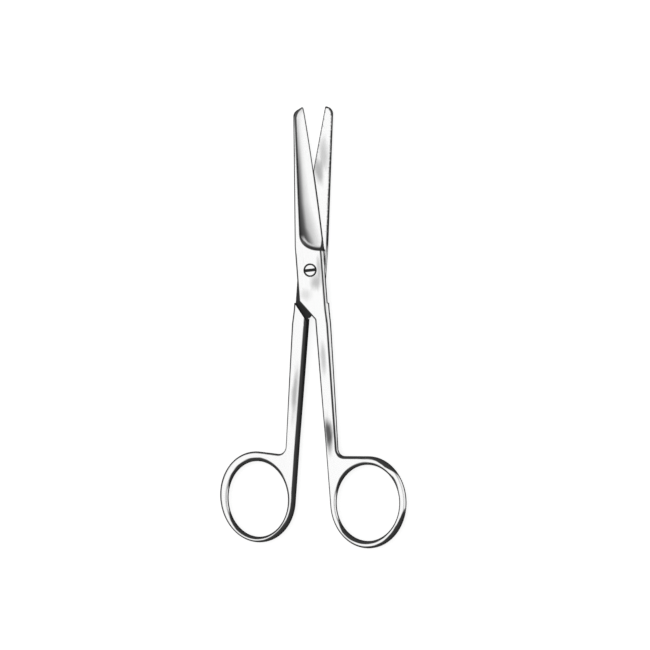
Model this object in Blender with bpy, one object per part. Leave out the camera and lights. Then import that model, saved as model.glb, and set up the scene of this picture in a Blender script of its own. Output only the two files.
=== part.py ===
"""Straight surgical scissors with two blunt tips: two forged steel halves and a slotted pivot screw.

Metres, +Z up. The pair lies flat and partly open, with the pivot on the Z axis and the blades along +Y.
Each half is shaped in its own frame: closed, outer face up, parting plane at z = 0, shank on the +X side.
The front half is used that way up, and the rear half is turned over about Y.
"""

import math
from dataclasses import dataclass

import bmesh
import bpy
import numpy as np

MM = 0.001

# Joint
JOINT_WIDTH = 9.2 * MM
JOINT_THICKNESS = 4.4 * MM  # both halves together
LAP_GAP = 0.3 * MM  # between the two flat lap faces
LAP_CORNER = 9.9 * MM  # pivot to the lower corner of the lap
LAP_SLANT = math.radians(38.0)  # lower edge of the lap, from the centre line
STOP_GAP = 0.7 * MM  # between the lap's slanted edge and the other half's step when closed
JOINT_TOP = 8.0 * MM  # pivot to where the blade starts to taper
JOINT_SIDE_END = 13.4 * MM  # pivot to where the joint's straight side ends
JOINT_BOTTOM = 18.0 * MM  # pivot to where the shank starts to thin
LAP_ROOT_RADIUS = 0.8 * MM  # inside corner between the lap's slanted edge and the shank
JOINT_ROUND = 0.3 * MM

# Blade
BLADE_TIP_THICKNESS = 1.15 * MM
EDGE_THICKNESS = 0.15 * MM
LAND_AT_TIP = 0.8 * MM  # flat strip left along the spine by the grinding wheel
LAND_AT_BASE = 1.75 * MM
HOLLOW_DEPTH = 0.12 * MM
RUNOUT_END = 6.15 * MM  # pivot to the end of the ground face
RUNOUT_HEIGHT = 5.8 * MM  # length of the curved end of the ground face
RUNOUT_SQUARENESS = 0.87  # 1 for an oval end, less for a squarer one
RUNOUT_FILLET = 2.0 * MM
TIP_RUNOUT_LENGTH = 3.9 * MM  # tip back to where the land starts to curve round it
TIP_RUNOUT_HEIGHT = 4.3 * MM
TIP_FILLET = 4.0 * MM
CUTTING_CORNER_RADIUS = 0.35 * MM
SPINE_CORNER_RADIUS = 2.4 * MM

# Shank
SHANK_NARROWING = 0.45 * MM  # from the joint to the ring
SHANK_LEAD = 5.1 * MM  # top of the ring to where the shank has reached the ring's thickness
SHANK_ROUND = 0.7 * MM
RING_FILLET = 2.4 * MM  # outer corner between shank and ring

# Finger rings
RING_THICKNESS = 3.4 * MM
RING_ROUND_HEIGHT = 1.3 * MM
RING_ROUND_SHARE = 0.42  # of the band, rounded from each side

# Screw
HEAD_RADIUS = 2.1 * MM
HEAD_HEIGHT = 1.1 * MM
HEAD_EDGE = 0.12 * MM
HEAD_SUNK = 0.04 * MM  # below the front half's face
HEAD_CLEARANCE = 0.08 * MM
HEAD_SEAT_GAP = 0.1 * MM
SHOULDER_RADIUS = 1.6 * MM
RUNNING_CLEARANCE = 0.06 * MM
THREAD_RADIUS = 1.25 * MM
THREAD_CLEARANCE = 0.1 * MM
THREAD_CHAMFER = 0.25 * MM
SLOT_WIDTH = 0.85 * MM
SLOT_DEPTH = 0.65 * MM
SLOT_TURN = math.radians(6.0)

# Room round the cutting shapes
GRIND_SKIRT = 0.5 * MM  # how far the grinding shape stands out past its rim
WELD_DISTANCE = 0.0001 * MM

# Fineness of the curves
SHARP_ANGLE = math.radians(32.0)  # edges that turn more stay crisp
ROUND_STEPS = 4
CORNER_STEPS = 5
OVAL_STEPS = 40
BELLY_STEPS = 6
GRIND_STEPS_TIP = 6
GRIND_STEPS_LAND = 7
GRIND_STEPS_END = 10
GRIND_STEPS_ACROSS = 9
GRIND_CROWDING = 1.5  # above 1 brings the steps across closer together near the rim
TURN_STEPS = 40


@dataclass(frozen=True)
class Half:
    """One half's own sizes, in its own frame: cutting edge and shank on the +X side."""

    name: str
    turned_over: bool
    rest_turn: float  # how far it lies opened from closed
    tip_reach: float  # pivot to the cutting corner of the tip
    tip_edge_x: float  # cutting corner, from the centre line
    tip_spine_x: float  # spine corner, from the centre line
    tip_drop: float  # fall of the blunt end from the cutting corner to the spine
    edge_belly: float  # outward bow of the cutting edge
    shank_inner_x: float  # inner edge of shank and ring, from the centre line
    shank_width: float  # at the joint
    ring_reach: float  # pivot to the ring's centre
    ring_lean: float
    ring_top_fall: float  # angle at which the ring's straight top falls away from the shank
    eye_width: float
    eye_height: float
    eye_lean: float
    band_inner: float  # ring's band, on the other ring's side
    band_outer: float
    band_top: float
    band_bottom: float


FRONT = Half(
    name="front_half",
    turned_over=False,
    rest_turn=math.radians(4.5),
    tip_reach=53.7 * MM,
    tip_edge_x=1.5 * MM,
    tip_spine_x=-1.85 * MM,
    tip_drop=1.7 * MM,
    edge_belly=0.3 * MM,
    shank_inner_x=0.38 * MM,
    shank_width=4.35 * MM,
    ring_reach=77.15 * MM,
    ring_lean=math.radians(4.0),
    ring_top_fall=math.radians(4.5),
    eye_width=21.2 * MM,
    eye_height=24.9 * MM,
    eye_lean=math.radians(4.5),
    band_inner=1.9 * MM,
    band_outer=2.2 * MM,
    band_top=2.8 * MM,
    band_bottom=2.4 * MM,
)
REAR = Half(
    name="rear_half",
    turned_over=True,
    rest_turn=math.radians(4.1),
    tip_reach=54.0 * MM,
    tip_edge_x=-0.73 * MM,
    tip_spine_x=-3.27 * MM,
    tip_drop=0.75 * MM,
    edge_belly=0.05 * MM,
    shank_inner_x=0.02 * MM,
    shank_width=4.85 * MM,
    ring_reach=75.45 * MM,
    ring_lean=math.radians(11.8),
    ring_top_fall=math.radians(-2.5),
    eye_width=20.3 * MM,
    eye_height=24.84 * MM,
    eye_lean=math.radians(8.0),
    band_inner=2.43 * MM,
    band_outer=2.47 * MM,
    band_top=3.22 * MM,
    band_bottom=1.84 * MM,
)


# Outline

def outer_semi_axes(half):
    """Half the width and height of the ring's outside."""
    return np.array([
        (half.eye_width + half.band_inner + half.band_outer) / 2,
        (half.eye_height + half.band_top + half.band_bottom) / 2,
    ])


def shank_end(half):
    """Pivot to where the shank has reached the ring's thickness."""
    return half.ring_reach - outer_semi_axes(half)[1] - SHANK_LEAD


def round_corner(before, corner, after, radius):
    """Points of the arc that replaces a corner."""
    to_before = (before - corner) / np.linalg.norm(before - corner)
    to_after = (after - corner) / np.linalg.norm(after - corner)
    half_angle = math.acos(np.clip(to_before @ to_after, -1.0, 1.0)) / 2
    middle = to_before + to_after
    centre = corner + middle / np.linalg.norm(middle) * radius / math.sin(half_angle)
    start = corner + to_before * radius / math.tan(half_angle) - centre
    end = corner + to_after * radius / math.tan(half_angle) - centre
    share = np.linspace(0.0, 1.0, CORNER_STEPS + 1)[:, None]
    turn = math.pi - 2 * half_angle
    return centre + (np.sin((1 - share) * turn) * start + np.sin(share * turn) * end) / math.sin(turn)


def oval_points(centre, semi_axes, lean, normal_angles):
    """Points of a leaning oval, each where its outward normal has the given angle."""
    normals = np.column_stack([np.cos(normal_angles + lean), np.sin(normal_angles + lean)])
    scaled = normals * semi_axes**2
    local = scaled / np.sqrt((normals * scaled).sum(axis=1))[:, None]
    upright = np.array([[math.cos(lean), -math.sin(lean)], [math.sin(lean), math.cos(lean)]])
    return centre + local @ upright


def ring_ovals(half):
    """Centres and semi-axes of the ring's outside and of its eye."""
    outer = outer_semi_axes(half)
    eye = np.array([half.eye_width / 2, half.eye_height / 2])
    cos, sin = math.cos(half.ring_lean), math.sin(half.ring_lean)
    half_width = math.hypot(outer[0] * cos, outer[1] * sin)
    outer_centre = np.array([half.shank_inner_x + half_width, -half.ring_reach])
    shift = np.array([(half.band_inner - half.band_outer) / 2, (half.band_bottom - half.band_top) / 2])
    upright = np.array([[cos, sin], [-sin, cos]])
    eye_centre = outer_centre + upright @ shift
    return outer_centre, outer, eye_centre, eye


def shank_outer_x(half, y):
    """Outer edge of the shank, a straight line from the joint to the ring."""
    share = (-y - JOINT_BOTTOM) / (shank_end(half) - JOINT_BOTTOM)
    return half.shank_inner_x + half.shank_width - share * SHANK_NARROWING


def lap_slant_end(half):
    """Where the slanted edge of the lap meets the inner edge of the shank."""
    inner = half.shank_inner_x
    return np.array([inner, -LAP_CORNER - (JOINT_WIDTH / 2 + inner) / math.tan(LAP_SLANT)])


def ring_corner(half, top_point):
    """Where the outer edge of the shank, run on, meets the straight top of the ring."""
    slope_out = SHANK_NARROWING / (shank_end(half) - JOINT_BOTTOM)
    fall = math.tan(half.ring_top_fall)
    x_at_zero = shank_outer_x(half, 0.0)
    y = (top_point[1] - fall * (x_at_zero - top_point[0])) / (1 + fall * slope_out)
    return np.array([x_at_zero + slope_out * y, y])


def cutting_edge(half, y):
    """Cutting edge: a straight line with a slight outward bow."""
    share = (y - JOINT_TOP) / (half.tip_reach - JOINT_TOP)
    straight = JOINT_WIDTH / 2 + share * (half.tip_edge_x - JOINT_WIDTH / 2)
    return straight + 4 * half.edge_belly * share * (1 - share)


def spine(half, y):
    """Spine: a straight line from the joint to the spine corner of the tip."""
    share = (y - JOINT_TOP) / (half.tip_reach - half.tip_drop - JOINT_TOP)
    return -JOINT_WIDTH / 2 + share * (half.tip_spine_x + JOINT_WIDTH / 2)


def outline(half):
    """The half's outline, anticlockwise from the top of the ring, with the edge rounding at each point."""
    outer_centre, outer, eye_centre, eye = ring_ovals(half)
    top_angle = math.pi / 2 - half.ring_top_fall
    angles = np.linspace(math.pi, 2 * math.pi + top_angle, OVAL_STEPS)
    oval = oval_points(outer_centre, outer, half.ring_lean, angles)
    bands = np.linalg.norm(oval - oval_points(eye_centre, eye, half.eye_lean, angles), axis=1)

    side, inner = JOINT_WIDTH / 2, half.shank_inner_x
    belly_y = np.linspace(JOINT_TOP, half.tip_reach, BELLY_STEPS + 1)
    edge = np.column_stack([cutting_edge(half, belly_y), belly_y])
    tip, spine_corner = edge[-1], np.array([half.tip_spine_x, half.tip_reach - half.tip_drop])
    joint_left = np.array([-side, JOINT_TOP])
    lap_corner = np.array([-side, -LAP_CORNER])
    lap_root = lap_slant_end(half)
    corner = ring_corner(half, oval[-1])
    joint_right = np.array([shank_outer_x(half, -JOINT_BOTTOM), -JOINT_BOTTOM])
    low = -shank_end(half)
    runs = [
        (round_corner(oval[-1], corner, joint_right, RING_FILLET), SHANK_ROUND),
        ([[shank_outer_x(half, low), low]], SHANK_ROUND),
        ([joint_right, [side, -JOINT_SIDE_END]], JOINT_ROUND),
        (edge[:-1], JOINT_ROUND),
        (round_corner(edge[-2], tip, spine_corner, CUTTING_CORNER_RADIUS), JOINT_ROUND),
        (round_corner(tip, spine_corner, joint_left, SPINE_CORNER_RADIUS), JOINT_ROUND),
        ([joint_left, lap_corner], JOINT_ROUND),
        (round_corner(lap_corner, lap_root, oval[0], LAP_ROOT_RADIUS), JOINT_ROUND),
        ([[inner, -JOINT_BOTTOM]], JOINT_ROUND),
        ([[inner, low]], SHANK_ROUND),
        (oval, RING_ROUND_SHARE * bands),
    ]
    points = np.concatenate([np.asarray(run, float) for run, _ in runs])
    rounding = np.concatenate([np.broadcast_to(round_, len(run)) for run, round_ in runs])
    return points, rounding


def eye_outline(half):
    """The ring's eye, clockwise, with the edge rounding at each point."""
    outer_centre, outer, eye_centre, eye = ring_ovals(half)
    angles = np.linspace(2 * math.pi, 0.0, OVAL_STEPS, endpoint=False)
    points = oval_points(eye_centre, eye, half.eye_lean, angles)
    bands = np.linalg.norm(points - oval_points(outer_centre, outer, half.ring_lean, angles), axis=1)
    return points, RING_ROUND_SHARE * bands


# Solids

def half_height(half, y):
    """Height of the outer face above the parting plane: flat at joint and ring, tapering between."""
    knots = [-shank_end(half), -JOINT_BOTTOM, JOINT_TOP, half.tip_reach]
    joint, tip = JOINT_THICKNESS / 2, LAP_GAP / 2 + BLADE_TIP_THICKNESS
    heights = [RING_THICKNESS / 2, joint, joint, tip]
    return np.interp(y, knots, heights)


def round_height(half, y, rounding):
    """How deep the edge rounding goes: as deep as it is wide, and deeper on the ring."""
    share = np.clip((-y - JOINT_BOTTOM) / (shank_end(half) - JOINT_BOTTOM), 0.0, 1.0)
    return rounding + share**3 * np.clip(RING_ROUND_HEIGHT - rounding, 0.0, None)


def inset(points, distances):
    """A closed outline moved to its left by a distance of its own at each point."""
    along = np.roll(points, -1, axis=0) - points
    along /= np.linalg.norm(along, axis=1)[:, None]
    left = np.column_stack([-along[:, 1], along[:, 0]])
    before = np.roll(left, 1, axis=0)
    miter = (left + before) / (1 + (left * before).sum(axis=1))[:, None]
    return points + miter * distances[:, None]


def rounded_levels(half, points, rounding):
    """The outline at each level from the lower face to the upper one, following the rounded edges."""
    depth = round_height(half, points[:, 1], rounding)
    levels = []
    for side in (-1, 1):
        turns = np.linspace(0.0, math.pi / 2, ROUND_STEPS + 1)
        for turn in turns[:: side]:
            flat = inset(points, rounding * (1 - math.cos(turn)))
            z = side * (half_height(half, flat[:, 1]) - depth * (1 - math.sin(turn)))
            levels.append(np.column_stack([flat, z]))
    return levels


def new_object(name, bm, material=None):
    """An object of the scene from a bmesh, with smooth curves and sharp corners."""
    bmesh.ops.recalc_face_normals(bm, faces=bm.faces)
    mesh = bpy.data.meshes.new(name)
    bm.to_mesh(mesh)
    bm.free()
    mesh.shade_smooth()
    mesh.set_sharp_from_angle(angle=SHARP_ANGLE)
    if material is not None:
        mesh.materials.append(material)
    obj = bpy.data.objects.new(name, mesh)
    bpy.context.scene.collection.objects.link(obj)
    return obj


def fill_cap(bm, ring, eye_ring, points, ring_start):
    """Closes one face of the blank: flat between two changes of slope, filled round the eye."""
    for low, high in ((JOINT_TOP, math.inf), (-JOINT_BOTTOM, JOINT_TOP), (ring_start, -JOINT_BOTTOM)):
        bm.faces.new([v for v, (x, y) in zip(ring, points) if low <= y <= high])
    round_eye = [v for v, (x, y) in zip(ring, points) if y <= ring_start]
    edges = []
    for loop in (round_eye, eye_ring):
        for i in range(len(loop)):
            pair = (loop[i - 1], loop[i])
            edges.append(bm.edges.get(pair) or bm.edges.new(pair))
    bmesh.ops.triangle_fill(bm, edges=edges, use_beauty=True)


def blank(half, material):
    """The forging before it is milled and ground: outline and eye, both faces, all edges rounded."""
    bm = bmesh.new()
    heights = {}
    walls = []
    outer_points, outer_rounding = outline(half)
    for points, rounding in ((outer_points, outer_rounding), eye_outline(half)):
        rings = []
        for level in rounded_levels(half, points, rounding):
            ring = [bm.verts.new((x, y, 0.0)) for x, y, _ in level]
            heights.update(zip(ring, level[:, 2]))
            rings.append(ring)
        for lower, upper in zip(rings, rings[1:]):
            for i in range(len(lower)):
                bm.faces.new((lower[i - 1], lower[i], upper[i], upper[i - 1]))
        walls.append(rings)
    for end in (0, -1):
        fill_cap(bm, walls[0][end], walls[1][end], outer_points, -shank_end(half))
    for vert, z in heights.items():
        vert.co.z = z
    return new_object(half.name, bm, material)


def prism(name, corners, low, high):
    """An upright prism on a flat outline."""
    bm = bmesh.new()
    face = bm.faces.new([bm.verts.new((x, y, low)) for x, y in corners])
    made = bmesh.ops.extrude_face_region(bm, geom=[face])["geom"]
    top = [v for v in made if isinstance(v, bmesh.types.BMVert)]
    bmesh.ops.translate(bm, verts=top, vec=(0.0, 0.0, high - low))
    return new_object(name, bm)


def lap_cutter(half):
    """All that is milled off below the parting plane, down to the step that the other lap closes on."""
    down = np.array([-math.sin(LAP_SLANT), -math.cos(LAP_SLANT)])
    out = np.array([math.cos(LAP_SLANT), -math.sin(LAP_SLANT)])
    on_step = np.array([JOINT_WIDTH / 2, -LAP_CORNER]) + out * STOP_GAP
    span = 2 * JOINT_WIDTH
    top = half.tip_reach + JOINT_WIDTH
    corners = [on_step + down * span, on_step - down * span, (span, top), (-span, top)]
    return prism(half.name + "_lap_cutter", corners, -JOINT_THICKNESS, LAP_GAP / 2)


def ground_rungs(half):
    """Lines across the ground face, each from its rim to a point clear of the cutting edge."""
    clear = JOINT_ROUND + 2 * CUTTING_CORNER_RADIUS
    start, end = half.tip_reach - TIP_RUNOUT_LENGTH, RUNOUT_END + RUNOUT_HEIGHT

    def rim_x(y):
        share = np.clip((y - end) / (start - end), 0.0, 1.0)
        return spine(half, y) + LAND_AT_BASE + share * (LAND_AT_TIP - LAND_AT_BASE)

    rungs = []
    for turn in np.linspace(math.pi / 2, 0.0, GRIND_STEPS_TIP, endpoint=False):
        foot = np.array([cutting_edge(half, start) + clear, start])
        reach = foot[0] - rim_x(start)
        rim = foot + np.array([-reach * math.cos(turn), TIP_RUNOUT_HEIGHT * math.sin(turn)])
        rungs.append((rim, foot, TIP_FILLET))
    for y in np.linspace(start, end, GRIND_STEPS_LAND, endpoint=False):
        rungs.append((np.array([rim_x(y), y]), np.array([cutting_edge(half, y) + clear, y]), RUNOUT_FILLET))
    for turn in np.linspace(0.0, math.pi / 2, GRIND_STEPS_END + 1):
        foot = np.array([cutting_edge(half, end) + clear, end])
        across, along = np.array([math.cos(turn), math.sin(turn)]).clip(0.0) ** RUNOUT_SQUARENESS
        rim = foot - np.array([(foot[0] - rim_x(end)) * across, RUNOUT_HEIGHT * along])
        rungs.append((rim, foot, RUNOUT_FILLET))
    return rungs


def ground_height(half, point, from_rim, fillet):
    """Height of the ground face: falling from land to edge, hollow between, filleted up to its rim."""
    x, y = point
    top = half_height(half, y)
    land = spine(half, y) + LAND_AT_TIP
    share = np.clip((x - land) / (cutting_edge(half, y) - land), 0.0, 1.0)
    edge = LAP_GAP / 2 + EDGE_THICKNESS
    face = top - (top - edge) * share - 4 * HOLLOW_DEPTH * share * (1 - share)
    depth = min(top - face, fillet)
    rise = max(math.sqrt(2 * fillet * depth - depth**2) - from_rim, 0.0)
    return face + fillet - math.sqrt(fillet**2 - min(rise, fillet) ** 2)


def grinding_cutter(half):
    """What the grinding wheel takes off the outer face of the blade."""
    bm = bmesh.new()
    above = JOINT_THICKNESS
    grid = []
    for rim, foot, fillet in ground_rungs(half):
        length = np.linalg.norm(foot - rim)
        toward = (foot - rim) / length
        row = [np.array([*(rim - toward * GRIND_SKIRT), half_height(half, rim[1]) + GRIND_SKIRT])]
        for share in np.linspace(0.0, 1.0, GRIND_STEPS_ACROSS) ** GRIND_CROWDING:
            point = rim + toward * length * share
            row.append(np.array([*point, ground_height(half, point, length * share, fillet)]))
        grid.append(row)
    lower = [[bm.verts.new(co) for co in row] for row in grid]
    upper = [[bm.verts.new((co[0], co[1], above)) for co in row] for row in grid]
    last_row, last = len(grid) - 1, len(grid[0]) - 1
    for i in range(last_row):
        for j in range(last):
            bm.faces.new((lower[i][j], lower[i][j + 1], lower[i + 1][j + 1], lower[i + 1][j]))
            bm.faces.new((upper[i][j], upper[i + 1][j], upper[i + 1][j + 1], upper[i][j + 1]))
        for j in (0, last):
            bm.faces.new((lower[i][j], lower[i + 1][j], upper[i + 1][j], upper[i][j]))
    for i in (0, last_row):
        for j in range(last):
            bm.faces.new((lower[i][j], lower[i][j + 1], upper[i][j + 1], upper[i][j]))
    bmesh.ops.remove_doubles(bm, verts=bm.verts, dist=WELD_DISTANCE)
    return new_object(half.name + "_grinding_cutter", bm)


def turned(name, profile, material=None):
    """A solid turned about Z from (radius, z) points that start and end on the axis, lowest first."""
    bm = bmesh.new()
    verts = [bm.verts.new((radius, 0.0, z)) for radius, z in profile]
    edges = [bm.edges.new(pair) for pair in zip(verts, verts[1:])]
    axis = (0.0, 0.0, 1.0)
    geom = verts + edges
    turn = 2 * math.pi
    bmesh.ops.spin(bm, geom=geom, cent=(0, 0, 0), axis=axis, angle=turn, steps=TURN_STEPS, use_merge=True)
    bmesh.ops.remove_doubles(bm, verts=bm.verts, dist=WELD_DISTANCE)
    return new_object(name, bm, material)


def cut(obj, cutter):
    """Takes the cutter's shape out of the object. The cutter moves with the object and isn't rendered."""
    cutter.parent = obj
    cutter.hide_render = True
    cutter.display_type = "WIRE"
    modifier = obj.modifiers.new(cutter.name, "BOOLEAN")
    modifier.operation = "DIFFERENCE"
    modifier.solver = "EXACT"
    modifier.object = cutter


# Pieces

def steel(name, colour, roughness):
    """Polished steel."""
    material = bpy.data.materials.new(name)
    material.use_nodes = True
    shader = material.node_tree.nodes["Principled BSDF"]
    shader.inputs["Base Color"].default_value = (*colour, 1.0)
    shader.inputs["Metallic"].default_value = 1.0
    shader.inputs["Roughness"].default_value = roughness
    return material


def bore_profile(half):
    """The hole for the screw: stepped for head and shoulder in the front half, plain in the rear."""
    far = JOINT_THICKNESS
    if half.turned_over:
        radius = THREAD_RADIUS + THREAD_CLEARANCE
        return [(0.0, -far), (radius, -far), (radius, far), (0.0, far)]
    shoulder = SHOULDER_RADIUS + RUNNING_CLEARANCE
    head = HEAD_RADIUS + HEAD_CLEARANCE
    seat = JOINT_THICKNESS / 2 - HEAD_SUNK - HEAD_HEIGHT - HEAD_SEAT_GAP
    return [(0.0, -far), (shoulder, -far), (shoulder, seat), (head, seat), (head, far), (0.0, far)]


def build_half(half, pivot, material):
    """One half: forged blank, lap milled away, blade ground, hole bored."""
    obj = blank(half, material)
    cut(obj, lap_cutter(half))
    cut(obj, grinding_cutter(half))
    cut(obj, turned(half.name + "_bore_cutter", bore_profile(half)))
    obj.rotation_euler = (0.0, math.pi, -half.rest_turn) if half.turned_over else (0.0, 0.0, half.rest_turn)
    obj.parent = pivot
    return obj


def build_screw(pivot, material):
    """The pivot screw: slotted flush head, plain shoulder that the front half turns on, threaded end."""
    face = JOINT_THICKNESS / 2
    top = face - HEAD_SUNK
    seat = top - HEAD_HEIGHT
    profile = [
        (0.0, -face),
        (THREAD_RADIUS - THREAD_CHAMFER, -face),
        (THREAD_RADIUS, -face + THREAD_CHAMFER),
        (THREAD_RADIUS, 0.0),
        (SHOULDER_RADIUS, 0.0),
        (SHOULDER_RADIUS, seat),
        (HEAD_RADIUS, seat),
        (HEAD_RADIUS, top - HEAD_EDGE),
        (HEAD_RADIUS - HEAD_EDGE, top),
        (0.0, top),
    ]
    obj = turned("pivot_screw", profile, material)
    x, y = 2 * HEAD_RADIUS, SLOT_WIDTH / 2
    corners = [(-x, -y), (x, -y), (x, y), (-x, y)]
    cut(obj, prism("screw_slot_cutter", corners, top - SLOT_DEPTH, top + HEAD_HEIGHT))
    obj.rotation_euler = (0.0, 0.0, SLOT_TURN)
    obj.parent = pivot
    return obj


def main():
    for obj in list(bpy.data.objects):
        bpy.data.objects.remove(obj, do_unlink=True)
    pivot = bpy.data.objects.new("pivot", None)
    pivot.location = (0.0, 0.0, JOINT_THICKNESS / 2)
    bpy.context.scene.collection.objects.link(pivot)
    forged = steel("polished_steel", (0.80, 0.80, 0.80), 0.22)
    turned_steel = steel("screw_steel", (0.74, 0.74, 0.74), 0.3)
    for half in (FRONT, REAR):
        build_half(half, pivot, forged)
    build_screw(pivot, turned_steel)


main()
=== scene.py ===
"""Straight operating scissors with two blunt tips, in polished steel, in a white studio.

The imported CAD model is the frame. Its three nodes are replaced by finer surfaces of the same sizes: two
forged halves with rounded, ground and milled faces, and the turned screw with its slot and thread. Every
size is in metres. A half is shaped in its own frame, as if closed: outer face up, parting plane at z = 0,
cutting edge and shank on the +X side. The upper half is used that way up, and the lower half is turned over
about Y.
"""

from __future__ import annotations

import logging
import math
from dataclasses import astuple, dataclass, field
from enum import Enum

import bpy
import numpy as np
from mathutils import Matrix, Vector
from mathutils.geometry import delaunay_2d_cdt

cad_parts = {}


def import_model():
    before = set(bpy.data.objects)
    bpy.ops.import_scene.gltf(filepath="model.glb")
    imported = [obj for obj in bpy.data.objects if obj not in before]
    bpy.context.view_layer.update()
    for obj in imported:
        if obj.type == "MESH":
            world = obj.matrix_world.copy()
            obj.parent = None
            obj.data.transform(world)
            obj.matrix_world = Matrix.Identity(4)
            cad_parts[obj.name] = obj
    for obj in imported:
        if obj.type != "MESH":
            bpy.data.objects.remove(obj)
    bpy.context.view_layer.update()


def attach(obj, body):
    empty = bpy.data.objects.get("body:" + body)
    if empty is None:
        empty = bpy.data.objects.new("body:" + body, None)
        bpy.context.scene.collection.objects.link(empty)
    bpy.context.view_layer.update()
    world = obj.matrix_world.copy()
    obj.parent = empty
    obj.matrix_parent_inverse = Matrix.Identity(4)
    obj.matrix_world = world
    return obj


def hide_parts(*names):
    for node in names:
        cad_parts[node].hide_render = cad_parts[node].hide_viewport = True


LOG = logging.getLogger("operating_scissors")
MM = 0.001
SHARP_ANGLE = math.radians(30.0)
WHITE = (1.0, 1.0, 1.0, 1.0)
POINTS_AT_ONCE = 2000
WELD = 1e-5
HOURS = 12
NodeSocket = bpy.types.NodeSocket
Pair = tuple[float, float]
Table = tuple[Pair, ...]
Inputs = dict[str | int, object]


class Body(Enum):
    """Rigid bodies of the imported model."""

    UPPER = "upper_half"
    LOWER = "lower_half"


class Slot(Enum):
    """Material slots of the record."""

    FORGING = "polished_steel"
    SCREW = "screw_steel"


# Curves on the plane


def round_corner(
    before: np.ndarray, corner: np.ndarray, after: np.ndarray, radius: float, steps: int
) -> np.ndarray:
    """Arc that touches both sides of a corner, its points spaced by equal angles round the arc's centre.

    Args:
        before, corner, after: points on the plane.
        radius: of the arc.
        steps: pieces of the arc.

    Returns:
        The arc's points, from the side of before to the side of after.
    """
    to_before = (before - corner) / np.linalg.norm(before - corner)
    to_after = (after - corner) / np.linalg.norm(after - corner)
    half_angle = math.acos(np.clip(to_before @ to_after, -1.0, 1.0)) / 2
    middle = to_before + to_after
    centre = corner + middle / np.linalg.norm(middle) * radius / math.sin(half_angle)
    start = corner + to_before * radius / math.tan(half_angle) - centre
    end = corner + to_after * radius / math.tan(half_angle) - centre
    share = np.linspace(0.0, 1.0, steps + 1)[:, None]
    turn = math.pi - 2 * half_angle
    return centre + (np.sin((1 - share) * turn) * start + np.sin(share * turn) * end) / math.sin(turn)


def oval_points(
    centre: np.ndarray, semi_axes: np.ndarray, lean: float, normal_angles: np.ndarray
) -> np.ndarray:
    """Points of a leaning oval where its outward normal n has given angles: a²n / |a n|, then leaned.

    Args:
        centre: of the oval.
        semi_axes: half its width and height.
        lean: clockwise, in radians.
        normal_angles: directions of the outward normals.

    Returns:
        One point for each normal.
    """
    normals = np.column_stack([np.cos(normal_angles + lean), np.sin(normal_angles + lean)])
    scaled = normals * semi_axes**2
    local = scaled / np.sqrt((normals * scaled).sum(axis=1))[:, None]
    upright = np.array([[math.cos(lean), -math.sin(lean)], [math.sin(lean), math.cos(lean)]])
    return centre + local @ upright


def inset(points: np.ndarray, distances: np.ndarray) -> np.ndarray:
    """A closed outline moved to its left along its mitred corners, by a distance of its own at each point.

    Args:
        points: the outline.
        distances: one for each point.

    Returns:
        The moved outline.
    """
    along = np.roll(points, -1, axis=0) - points
    along /= np.linalg.norm(along, axis=1)[:, None]
    left = np.column_stack([-along[:, 1], along[:, 0]])
    before = np.roll(left, 1, axis=0)
    miter = (left + before) / (1 + (left * before).sum(axis=1))[:, None]
    return points + miter * distances[:, None]


def densify(
    points: np.ndarray, values: np.ndarray, step: float | np.ndarray
) -> tuple[np.ndarray, np.ndarray]:
    """Splits each side of a closed outline evenly, into parts no longer than a step.

    Args:
        points: the outline.
        values: one for each point, shared out evenly along the sides.
        step: longest part, for all sides or for each.

    Returns:
        The finer outline and its values.
    """
    ahead = np.roll(points, -1, axis=0) - points
    counts = np.maximum(1, np.ceil(np.linalg.norm(ahead, axis=1) / step)).astype(int)
    side = np.repeat(np.arange(len(points)), counts)
    share = (np.arange(counts.sum()) - (np.cumsum(counts) - counts)[side]) / counts[side]
    finer = points[side] + share[:, None] * ahead[side]
    return finer, values[side] + share * (np.roll(values, -1) - values)[side]


def distance_to_line(points: np.ndarray, line: np.ndarray) -> np.ndarray:
    """Distance from each point to an open line: the foot on each side is clamped to the side's ends.

    Args:
        points: on the plane.
        line: the points that it runs through.

    Returns:
        One distance for each point.
    """
    (x0, y0), (along_x, along_y) = line[:-1].T, np.diff(line, axis=0).T
    squared = along_x**2 + along_y**2
    nearest = []
    for part in np.array_split(points, len(points) // POINTS_AT_ONCE + 1):
        off_x, off_y = part[:, 0:1] - x0, part[:, 1:2] - y0
        share = np.clip((off_x * along_x + off_y * along_y) / squared, 0.0, 1.0)
        nearest.append(((off_x - share * along_x) ** 2 + (off_y - share * along_y) ** 2).min(axis=1))
    return np.sqrt(np.concatenate(nearest))


def distance_to_loop(points: np.ndarray, loop: np.ndarray) -> np.ndarray:
    """Distance from each point to a closed outline."""
    return distance_to_line(points, np.vstack([loop, loop[:1]]))


def inside(points: np.ndarray, loop: np.ndarray) -> np.ndarray:
    """Whether each point is inside a closed loop: a ray to +X crosses the loop an odd number of times.

    Args:
        points: on the plane.
        loop: the closed outline.

    Returns:
        One truth value for each point.
    """
    (x0, y0), (x1, y1) = loop.T, np.roll(loop, -1, axis=0).T
    x, y = points[:, 0:1], points[:, 1:2]
    spans = (y0 > y) != (y1 > y)
    rise = np.where(y1 == y0, 1.0, y1 - y0)
    return ((spans & (x < x0 + (y - y0) * (x1 - x0) / rise)).sum(axis=1) % 2).astype(bool)


# Meshes


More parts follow.
